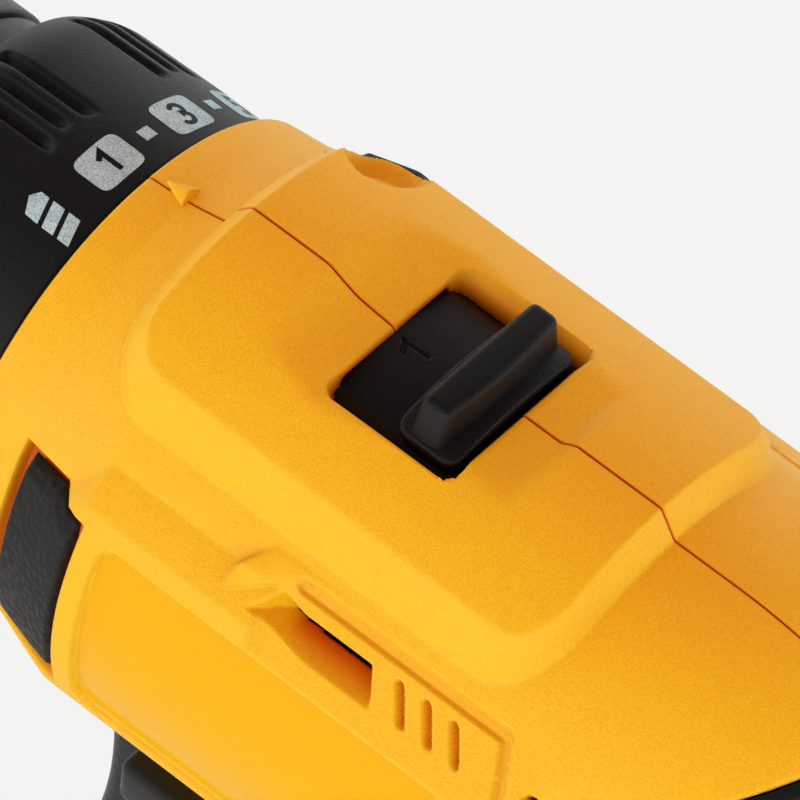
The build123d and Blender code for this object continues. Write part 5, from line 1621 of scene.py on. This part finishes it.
@dataclass
class TorqueCollar:
    """The numbered torque collar: band, grooved grip and print.

    Attributes:
        band_r: Radius of the printed band.
        grip_r: Radius of the grip.
        length: Length along the axis.
        band: Length of the band.
        sets: Groove sets round the grip.
        setting: Angle from one setting to the next.
        highest: Highest printed number.
        mark: Angle of the drilling mark from number one.
        numeral: Height of the printed numerals.
        row: Place of the printed row along the band.
        first: Place of number one round the band.
        wave: How far the grip's rear edge waves.
        taper: How much the grip narrows towards the front.
        grooves: Angles of the grooves in a set.
        groove_depth: Their depth.
        groove_half: Half their width at the floor and at the top.
        rear_edge: Depth and width of the rounding at the rear.
        front_edge: Depth and width of the rounding in front.
        wall: Wall thickness.
        lip: Width of the front lip.
        flange: Radii of the front lip, of the step behind it and of the bore.
        plate_half: Half a number's box, round and along the band.
        dot_half: Half a square between two boxes, round and along the band.
        rises: Heights of the boxes, the drilling mark and the numerals over the band.
    """

    band_r: float = 25.4
    grip_r: float = 25.6
    length: float = 22.5
    band: float = 8.6
    sets: int = 9
    setting: float = 12.5
    highest: int = 17
    mark: float = 19.8
    numeral: float = 3.5
    row: float = 4.1
    first: float = -0.55
    wave: float = 1.4
    taper: float = 0.5
    grooves: Triple = (-6.4, 0.0, 6.4)
    groove_depth: float = 1.05
    groove_half: Span = (0.25, 1.05)
    rear_edge: Span = (0.35, 0.4)
    front_edge: Span = (1.5, 5.0)
    wall: float = 1.6
    lip: float = 1.6
    flange: Triple = (17.8, 17.6, 14.6)
    plate_half: Span = (3.0, 2.45)
    dot_half: Span = (0.8, 0.75)
    rises: Triple = (0.03, 0.045, 0.06)

    def radius(self, along: float, turn: float) -> float:
        """Outer radius at a place along the collar."""
        period = 360.0 / self.sets
        local = (turn + period / 2) % period - period / 2
        front = self.band + self.wave * math.cos(math.radians(local * self.sets))
        grip = self.grip_r - self.taper * along / self.length
        radius = self.band_r + (grip - self.band_r) * ease(along, front - 0.8, front + 1.0)
        nearest = min(abs(local - offset) for offset in self.grooves)
        groove = math.radians(nearest) * self.grip_r
        depth = self.groove_depth * (1.0 - ease(groove, *self.groove_half))
        depth *= ease(along, front - 0.6, front + 1.6)
        radius -= depth * (1.0 - ease(along, self.length - 2.2, self.length - 1.2))
        fall, width = self.rear_edge
        radius -= fall * (1.0 - ramp(along, 0.0, width)) ** 2
        fall, width = self.front_edge
        radius -= fall * ramp(along, self.length - width, self.length) ** 2
        return radius

    def on_band(self, along: float, girth: float, rise: float) -> Vector:
        """A point on the printed band, girth counted to the right seen from behind."""
        turn = -math.degrees(girth / self.band_r)
        return around(-COLLAR_GAP - along, turn, self.band_r + rise)

    def shell(self) -> Piece:
        """The collar's body, closed by a front flange."""
        alongs = graded(0.0, (0.6, 0.1), (6.0, 0.9), (12.0, 0.3), (18.0, 0.6), (self.length, 0.2))
        turns = graded(0.0, (360.0, 0.6))
        bm = curved_grid(
            alongs, turns, lambda along, turn: around(-COLLAR_GAP - along, turn, self.radius(along, turn))
        )
        bmesh.ops.remove_doubles(bm, verts=bm.verts[:], dist=0.005 * MM)
        bm.normal_update()
        turn_out(bm)
        rear = RIM_X + COLLAR_GAP
        front = (rear + self.length - 0.1) * MM
        rim = [e for e in bm.edges if e.is_boundary and e.verts[0].co.x > front]
        step = self.length - self.lip
        for along, radius in zip((self.length, step, step), self.flange):
            made = bmesh.ops.extrude_edge_only(bm, edges=rim)["geom"]
            for vert in (g for g in made if isinstance(g, bmesh.types.BMVert)):
                vert.co = at_radius(vert.co, radius)
                vert.co.x = (rear + along) * MM
            rim = [g for g in made if isinstance(g, bmesh.types.BMEdge) and g.is_boundary]
        bm.normal_update()
        piece = new_piece("torque_collar_shell", bm)
        add_wall(piece, self.wall)
        return piece

    def number_plate(self, girth: float) -> Mesh:
        """A rounded white box on the band."""
        half_girth, half_along = self.plate_half
        steps = graded(-1.0, (1.0, 0.1))
        bm = curved_grid(steps, steps, lambda a, b: Vector((a, b, 0.0)))
        for vert in bm.verts:
            a, b = vert.co.x, vert.co.y
            reach = (abs(a) ** 6 + abs(b) ** 6) ** (1 / 6) or 1.0
            shrink = max(abs(a), abs(b)) / reach
            along, across = b * shrink * half_along, a * shrink * half_girth
            vert.co = self.on_band(self.row + along, girth + across, self.rises[0])
        return bm

    def digits(self, text: str, girth: float) -> Piece:
        """Dark numerals on a box, upright seen from behind the drill."""
        bm = bmesh.new()
        size = self.numeral
        for index, digit in enumerate(text):
            middle = girth + (index - (len(text) - 1) / 2) * 0.5 * size
            for line in Stroke.numeral(digit):
                Stroke.ribbon(
                    bm, line, lambda a, b: self.on_band(self.row + b * size, middle + a * size, self.rises[2])
                )
        turn_each_out(bm)
        return new_piece(f"collar_number_{text}", bm)

    def drill_mark(self) -> Mesh:
        """Three slanted bars, the front one pointed, that stand for plain drilling."""
        bm = bmesh.new()
        girth = -math.radians(self.mark) * self.band_r
        rise = self.rises[1]
        bar = ((-1.4, -1.15), (1.4, -0.3), (1.4, 1.15), (-1.4, 0.3))
        tip = ((-1.4, -1.15), (1.4, -0.3), (1.4, 0.75), (0.4, 1.45), (-1.3, 0.5))
        for along, outline in ((2.0, bar), (4.0, bar), (6.0, tip)):
            bm.faces.new([bm.verts.new(self.on_band(along + b, girth + a, rise)) for a, b in outline])
        bmesh.ops.triangulate(bm, faces=bm.faces[:])
        bmesh.ops.subdivide_edges(bm, edges=bm.edges[:], cuts=2, use_grid_fill=True)
        for vert in bm.verts:
            vert.co = at_radius(vert.co, self.band_r + rise)
        return bm

    def build(self, shell: Material, print_white: Material, print_dark: Material) -> None:
        """Builds and dresses the collar and its print."""
        dress(self.shell(), "torque_collar", shell, ("torque_collar",))
        white = self.drill_mark()
        for number in range(1, self.highest + 1):
            girth = self.first + math.radians(self.setting) * (number - 1) * self.band_r
            take_in(white, self.number_plate(girth) if number % 2 else self.dot(girth))
            if number % 2:
                dress(self.digits(str(number), girth), "torque_collar", print_dark)
        turn_each_out(white)
        dress(new_piece("collar_print", white), "torque_collar", print_white)

    def dot(self, girth: float) -> Mesh:
        """A small square between two numbers."""
        steps = graded(-1.0, (1.0, 0.5))
        across, along = self.dot_half
        rise = self.rises[0]
        return curved_grid(
            steps, steps, lambda a, b: self.on_band(self.row + along * b, girth + across * a, rise)
        )


@dataclass
class FrontEnd:
    """The chuck's hand sleeve and rear ring, as turned and ribbed forms.

    Attributes:
        ribs: Number of grip flutes.
        flute: Depth of a flute.
        corner: Rounding of the turned corners.
        straight: Length of the sleeve's straight part.
        taper: How much its radius shrinks towards the nose.
        seat_r: Inner radius at its rear.
        bore_r: Inner radius at its nose.
        bore: Length of the bore in the nose.
        ring_r: Inner radius of the rear ring.
        steps: Facets round a ring.
    """

    ribs: int = 18
    flute: float = 0.85
    corner: float = 0.35
    straight: float = 16.5
    taper: float = 5.4
    seat_r: float = 18.3
    bore_r: float = 13.1
    bore: float = 13.9
    ring_r: float = 15.65
    steps: int = 288

    def ring_of(self, name: str, profile: Line, flute: Span | None = None) -> Piece:
        """A closed turned ring from (x, radius) corners, with flutes over a stretch of x."""
        bm = bmesh.new()
        verts = [bm.verts.new(Vector((x, 0.0, AXIS_Z + r)) * MM) for x, r in profile]
        for pair in zip(verts, verts[1:] + verts[:1]):
            bm.edges.new(pair)
        round_off(bm, verts, self.corner * MM, 3, "VERTICES")
        if flute:
            long = [e for e in bm.edges if e.calc_length() > 4.0 * MM]
            bmesh.ops.subdivide_edges(bm, edges=long, cuts=12)
        bmesh.ops.spin(
            bm, geom=bm.verts[:] + bm.edges[:], cent=(0.0, 0.0, AXIS_Z * MM), axis=(1.0, 0.0, 0.0),
            angle=math.tau, steps=self.steps, use_merge=True,
        )
        bmesh.ops.remove_doubles(bm, verts=bm.verts[:], dist=0.003 * MM)
        if flute:
            self.cut_flutes(bm, flute)
        bmesh.ops.recalc_face_normals(bm, faces=bm.faces[:])
        return new_piece(name, bm)

    def cut_flutes(self, bm: Mesh, span: Span) -> None:
        """Presses soft grip flutes into the outer skin."""
        axis = Vector((0.0, 0.0, AXIS_Z * MM))
        start, end = span
        for vert in bm.verts:
            out = Vector((0.0, vert.co.y, vert.co.z)) - axis
            if out.length < 15.0 * MM:
                continue
            wave = 0.5 + 0.5 * math.cos(math.atan2(out.y, out.z) * self.ribs)
            x = vert.co.x / MM
            share = ease(wave, 0.62, 0.95) * ease(x, start, start + 1.6) * (1.0 - ease(x, end - 3.0, end))
            if out.length > 18.7 * MM or x > end - 9.0:
                vert.co -= out.normalized() * self.flute * share * MM

    def build(self, material: Material) -> None:
        """Builds and dresses the sleeve and the ring."""
        low, high = node_box("chuck_sleeve")
        x0, x1, outer = low.x, high.x, (high.y - low.y) / 2
        profile = [
            (x0, self.seat_r), (x0, outer), (x0 + self.straight, outer), (x1 - 0.2, outer - self.taper),
            (x1, self.bore_r), (x1 - self.bore, self.bore_r), (x1 - self.bore, self.seat_r),
        ]
        piece = self.ring_of("chuck_sleeve_shell", profile, (x0 + 2.0, x1 - 9.0))
        dress(piece, "chuck_sleeve", material, ("chuck_sleeve",))
        low, high = node_box("chuck_ring")
        x0, x1, outer = low.x, high.x, (high.y - low.y) / 2
        profile = [
            (x0, self.ring_r), (x0, outer - 0.6), (x0 + 0.6, outer), (x1, outer), (x1, self.ring_r),
        ]
        dress(self.ring_of("chuck_rear_ring", profile), "spindle", material, ("chuck_ring",))


@dataclass
class Controls:
    """Trigger and direction lever.

    Attributes:
        edge: Rounding of the trigger's edges.
        scoop: Depth of the trigger's finger scoop.
        reach: How far the trigger's lower end reaches over the plain block.
        trigger_back: Rear end of the trigger's body, in x.
        strips: Strips up the trigger, so that its front can bend.
        lever_front: Front edge of the direction lever.
        lever_edge: Rounding of its edges.
    """

    edge: float = 2.0
    scoop: float = 1.4
    reach: float = 1.6
    trigger_back: float = 14.5
    strips: int = 10
    lever_front: float = 21.5
    lever_edge: float = 1.2

    def trigger(self) -> Piece:
        """The trigger's body with a scooped front."""
        low, high = node_box("trigger")
        low.x = self.trigger_back
        bm = rounded_block(low, high, self.edge, 4)
        slice_at(bm, Vector((high.x - 3.0, 0.0, 0.0)) * MM, Vector((1.0, 0.0, 0.0)))
        for step in range(1, self.strips):
            z = low.z + (high.z - low.z) * step / self.strips
            slice_at(bm, Vector((0.0, 0.0, z)) * MM, Vector((0.0, 0.0, 1.0)))
        middle = (low.z + high.z) / 2 - 4.0
        reach = (high.z - low.z) / 2
        for vert in bm.verts:
            front = ease(vert.co.x / MM, high.x - 8.0, high.x)
            share = 1.0 - min(1.0, ((vert.co.z / MM - middle) / reach) ** 2)
            lower = 1.0 - ramp(vert.co.z / MM, low.z, high.z)
            vert.co.x += front * (self.reach * lower - self.scoop * share) * MM
        return new_piece("trigger_body", bm)

    def lever(self) -> Piece:
        """The direction lever: a plain bar with rounded edges."""
        low, high = node_box("direction_lever")
        high.x = self.lever_front
        return new_piece("direction_bar", rounded_block(low, high, self.lever_edge, 3))

    def build(self, material: Material, satin: Material) -> None:
        """Builds and dresses both."""
        dress(self.trigger(), "trigger", satin, ("trigger",))
        dress(self.lever(), "direction_lever", material, ("direction_lever",))


@dataclass
class Pack:
    """The battery pack's outer shells and button.

    Attributes:
        corner: Corner radius in plan.
        edge: Rounding of the outer edges.
        line: Rounding along the parting line.
        cover_top: Height of the cover's top.
        rails: Name, half width, foot and top of the neck and of the rail on it.
        rail_span: Their rear and front end.
        rail_edge: Rounding of their edges.
        button_edge: Rounding of the button's edges.
    """

    corner: float = 13.0
    edge: float = 3.0
    line: float = 0.5
    cover_top: float = 36.6
    rails: tuple = (("battery_neck", 23.0, 36.1, 43.0), ("battery_rail", 28.0, 42.6, 49.0))
    rail_span: Span = (-36.0, 45.0)
    rail_edge: float = 0.5
    button_edge: float = 1.2

    def shell(self, name: str, low: Vector, high: Vector, round_top: bool) -> Piece:
        """A shell half, rounded above or below and bevelled at the parting line."""
        bm = block(low * MM, high * MM)
        upright = [e for e in bm.edges if abs(e.verts[0].co.z - e.verts[1].co.z) > MM]
        round_off(bm, upright, self.corner * MM, 10)
        outer, parting = (high.z, low.z) if round_top else (low.z, high.z)
        for level, offset, segments in ((outer, self.edge, 4), (parting, self.line, 2)):
            rim = [e for e in bm.edges if all(abs(v.co.z - level * MM) < 1e-6 for v in e.verts)]
            round_off(bm, rim, offset * MM, segments)
        return new_piece(name, bm)

    def build(self, material: Material, satin: Material) -> None:
        """Builds and dresses the tray, the cover with its rails, and the button."""
        low, high = node_box("battery_tray")
        tray = self.shell("battery_tray_shell", low, high, False)
        dress(tray, "battery", material, ("battery_tray",))
        low.z, high.z = high.z, self.cover_top
        cover = self.shell("battery_cover_shell", low, high, True)
        dress(cover, "battery", material, ("battery_cover",))
        rear, front = self.rail_span
        for name, half, start, end in self.rails:
            bm = rounded_block(Vector((rear, -half, start)), Vector((front, half, end)), self.rail_edge, 2)
            dress(new_piece(name, bm), "battery", material, ("battery_cover",))
        button = new_piece("release_button", rounded_block(*node_box("battery_release"), self.button_edge, 3))
        dress(button, "battery_release", satin, ("battery_release",))


@dataclass
class Studio:
    """The photograph's view, the floor and the light.

    Attributes:
        right: Direction to the picture's right.
        up: Direction to its top.
        aim: The point in its middle, from the rim's front on the barrel's axis.
        distance: Distance from the camera to that point.
        pixels_per_mm: Scale of the picture there.
        image: Width of the picture, in pixels.
        sensor: Width of the camera's sensor.
        clip: Nearest and farthest distance seen, in metres.
        shade_side: Light of the room on the side away from the lamp.
        light_side: Light of the room on the lamp's side.
        ceiling_light: Light of the room from above.
        ceiling_rise: Slope at which that light is reached.
        key_way: Direction to the lamp, in metres.
        key_rise: Height of the lamp over the barrel's axis, in metres.
        key_colour: Colour of the lamp.
        key_power: Its power, in watts.
        key_size: Its width, in metres.
        paper: Brightness of the background where the camera sees it.
        ceiling: Brightness of what shiny faces see overhead.
        pale_span: Slopes over which the background darkens towards the ceiling.
        glow: How much of the floor's look is the paper's own brightness.
        floor_half: Half the floor's width, in metres.
        floor_colours: The floor's colours where it lights the drill.
        floor_rough: Lowest and highest roughness of the floor.
    """

    right: Triple = (-0.7531, -0.6525, 0.0851)
    up: Triple = (0.5572, -0.5634, 0.6100)
    aim: Triple = (-37.0, 6.3, 31.0)
    distance: float = 1100.0
    pixels_per_mm: float = 10.6
    image: float = 800.0
    sensor: float = 36.0
    clip: Span = (0.01, 20.0)
    shade_side: Colour = (2.3, 4.5, 4.4)
    light_side: Colour = (5.1, 7.45, 7.3)
    ceiling_light: Colour = (0.88, 0.64, 0.53)
    ceiling_rise: float = 0.25
    key_way: Triple = (-0.12, 0.9928, 0.0)
    key_rise: float = 0.3
    key_colour: Colour = (0.75, 1.0, 0.95)
    key_power: float = 0.8
    key_size: float = 0.5
    paper: float = 0.98
    ceiling: float = 0.06
    pale_span: Span = (0.25, 0.8)
    glow: float = 0.8
    floor_half: float = 3.0
    floor_colours: tuple[Colour, Colour] = ((0.64, 0.80, 0.82), (0.65, 0.81, 0.83))
    floor_rough: Span = (0.7, 0.8)

    def camera(self) -> None:
        """Sets the camera on the photograph's line of sight."""
        data = bpy.data.cameras.new("photo camera")
        data.sensor_width = self.sensor
        data.lens = self.pixels_per_mm * self.sensor / self.image * self.distance
        data.clip_start, data.clip_end = self.clip
        right = Vector(self.right)
        back = right.cross(Vector(self.up)).normalized()
        turn = Matrix((right.normalized(), back.cross(right).normalized(), back)).transposed().to_4x4()
        target = Vector((RIM_X, 0.0, AXIS_Z)) + Vector(self.aim)
        camera = bpy.data.objects.new("photo camera", data)
        camera.matrix_world = Matrix.Translation((target + back * self.distance) * MM) @ turn
        bpy.context.scene.collection.objects.link(camera)
        bpy.context.scene.camera = camera

    def light(self) -> None:
        """One soft square lamp on the left that looks at the barrel, and plain view colours."""
        data = bpy.data.lights.new("key", "AREA")
        data.energy = self.key_power
        data.size = self.key_size
        data.color = self.key_colour
        lamp = bpy.data.objects.new("key", data)
        barrel = Vector((0.0, 0.0, AXIS_Z * MM))
        lamp.location = barrel + Vector(self.key_way) + Vector((0.0, 0.0, self.key_rise))
        lamp.rotation_euler = (barrel - lamp.location).to_track_quat("-Z", "Y").to_euler()
        bpy.context.scene.collection.objects.link(lamp)
        bpy.context.scene.view_settings.view_transform = "Standard"

    def seen_by_camera(self, kit: NodeKit) -> Socket:
        """1 for rays from the camera, straight, through a lens or off a shiny face, and 0 for others."""
        path = kit.add("ShaderNodeLightPath")
        seen = path.outputs["Is Camera Ray"]
        for ray in ("Is Transmission Ray", "Is Glossy Ray"):
            larger = kit.add("ShaderNodeMath", operation="MAXIMUM")
            kit.link(seen, larger.inputs[0])
            kit.link(path.outputs[ray], larger.inputs[1])
            seen = larger.outputs[0]
        return seen

    def world(self) -> None:
        """A room that is lighter towards the lamp's side, and pale where the camera sees it."""
        world = bpy.data.worlds.new("studio")
        world.use_nodes = True
        bpy.context.scene.world = world
        kit = NodeKit(world.node_tree)
        place = kit.add("ShaderNodeTexCoord").outputs["Generated"]
        facing = kit.add("ShaderNodeVectorMath", operation="DOT_PRODUCT")
        facing.inputs[1].default_value = self.key_way
        kit.link(place, facing.inputs[0])
        room = kit.spread(facing.outputs["Value"], (-1.0, 1.0), (0.0, 1.0))
        sides = kit.mix(room, self.shade_side, self.light_side)
        parts = kit.add("ShaderNodeSeparateXYZ")
        kit.link(place, parts.inputs[0])
        height = parts.outputs["Z"]
        smooth = {"interpolation_type": "SMOOTHSTEP"}
        above = kit.spread(height, (0.0, self.ceiling_rise), (0.0, 1.0), **smooth)
        light = kit.mix(above, sides, self.ceiling_light)
        pale = kit.spread(height, self.pale_span, (self.paper, self.ceiling), **smooth)
        level = kit.mix(self.seen_by_camera(kit), light, pale)
        kit.link(level, world.node_tree.nodes["Background"].inputs["Color"])

    def floor(self) -> None:
        """A pale sheet that shows evenly white and still lights the part from below."""
        bm = bmesh.new()
        bmesh.ops.create_grid(bm, x_segments=1, y_segments=1, size=self.floor_half)
        floor = new_piece("studio_floor", bm)
        paper = Finish("pale floor", *self.floor_colours, self.floor_rough, 0.0).material()
        kit = NodeKit(paper.node_tree)
        glow = kit.add("ShaderNodeEmission")
        glow.inputs["Color"].default_value = (self.paper, self.paper, self.paper, 1.0)
        blend = kit.add("ShaderNodeMixShader")
        share = kit.add("ShaderNodeMath", operation="MULTIPLY")
        share.inputs[1].default_value = self.glow
        kit.link(self.seen_by_camera(kit), share.inputs[0])
        kit.link(share.outputs[0], blend.inputs[0])
        kit.link(paper.node_tree.nodes["Principled BSDF"].outputs[0], blend.inputs[1])
        kit.link(glow.outputs[0], blend.inputs[2])
        kit.link(blend.outputs[0], paper.node_tree.nodes["Material Output"].inputs["Surface"])
        floor.data.materials.append(paper)


def dress_cad_nodes() -> None:
    """Gives every node that stays its finish, by the record's slot."""
    finishes = {
        "yellow_housing": YELLOW, "black_plastic": BLACK, "grip_rubber": RUBBER, "grey_plastic": GREY,
        "steel": STEEL, "screw_steel": DARK_STEEL, "grey_gear_case": GREY, "magnet": FERRITE,
        "bronze": BRONZE, "lens": LENS, "cell": CELL, "board": BOARD,
    }
    made = {slot: finish.material() for slot, finish in finishes.items()}
    slots = {row["node"]: row["material_slot"] for row in frame["record"]["subparts"]}
    for name, node in frame["nodes"].items():
        node.data.materials.clear()
        node.data.materials.append(made[slots[name]])


def compress_springs() -> None:
    """Gives each coil spring a mesh of its own."""
    for node, joint, fixed_x, travel in SPRINGS:
        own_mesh(frame["nodes"][node])


def main() -> None:
    """Builds and dresses the whole drill."""
    logging.basicConfig(level=logging.INFO, format="%(message)s")
    dress_cad_nodes()
    compress_springs()
    yellow, black, satin, rubber = YELLOW.material(), BLACK.material(), SATIN.material(), RUBBER.material()
    smooth = SMOOTH.material()
    HousingSkin(Side.LEFT).build(yellow, smooth)
    HousingSkin(Side.RIGHT, lift=0.05).build(yellow, smooth)
    RearCover().build(black)
    for side in Side:
        dress(SidePad(side).build(), "drill_body", rubber, ("rubber_pads",))
        dress(HandleForm().grip(side), "drill_body", rubber, ("handle_grips",))
    IndexPointer().build(yellow)
    Selector().build(black)
    TorqueCollar().build(black, PRINT.material(), satin)
    FrontEnd().build(GREY.material())
    Controls().build(black, satin)
    Pack().build(black, satin)
    studio = Studio()
    studio.camera()
    studio.world()
    studio.floor()
    studio.light()


if __name__ == "__main__":
    main()
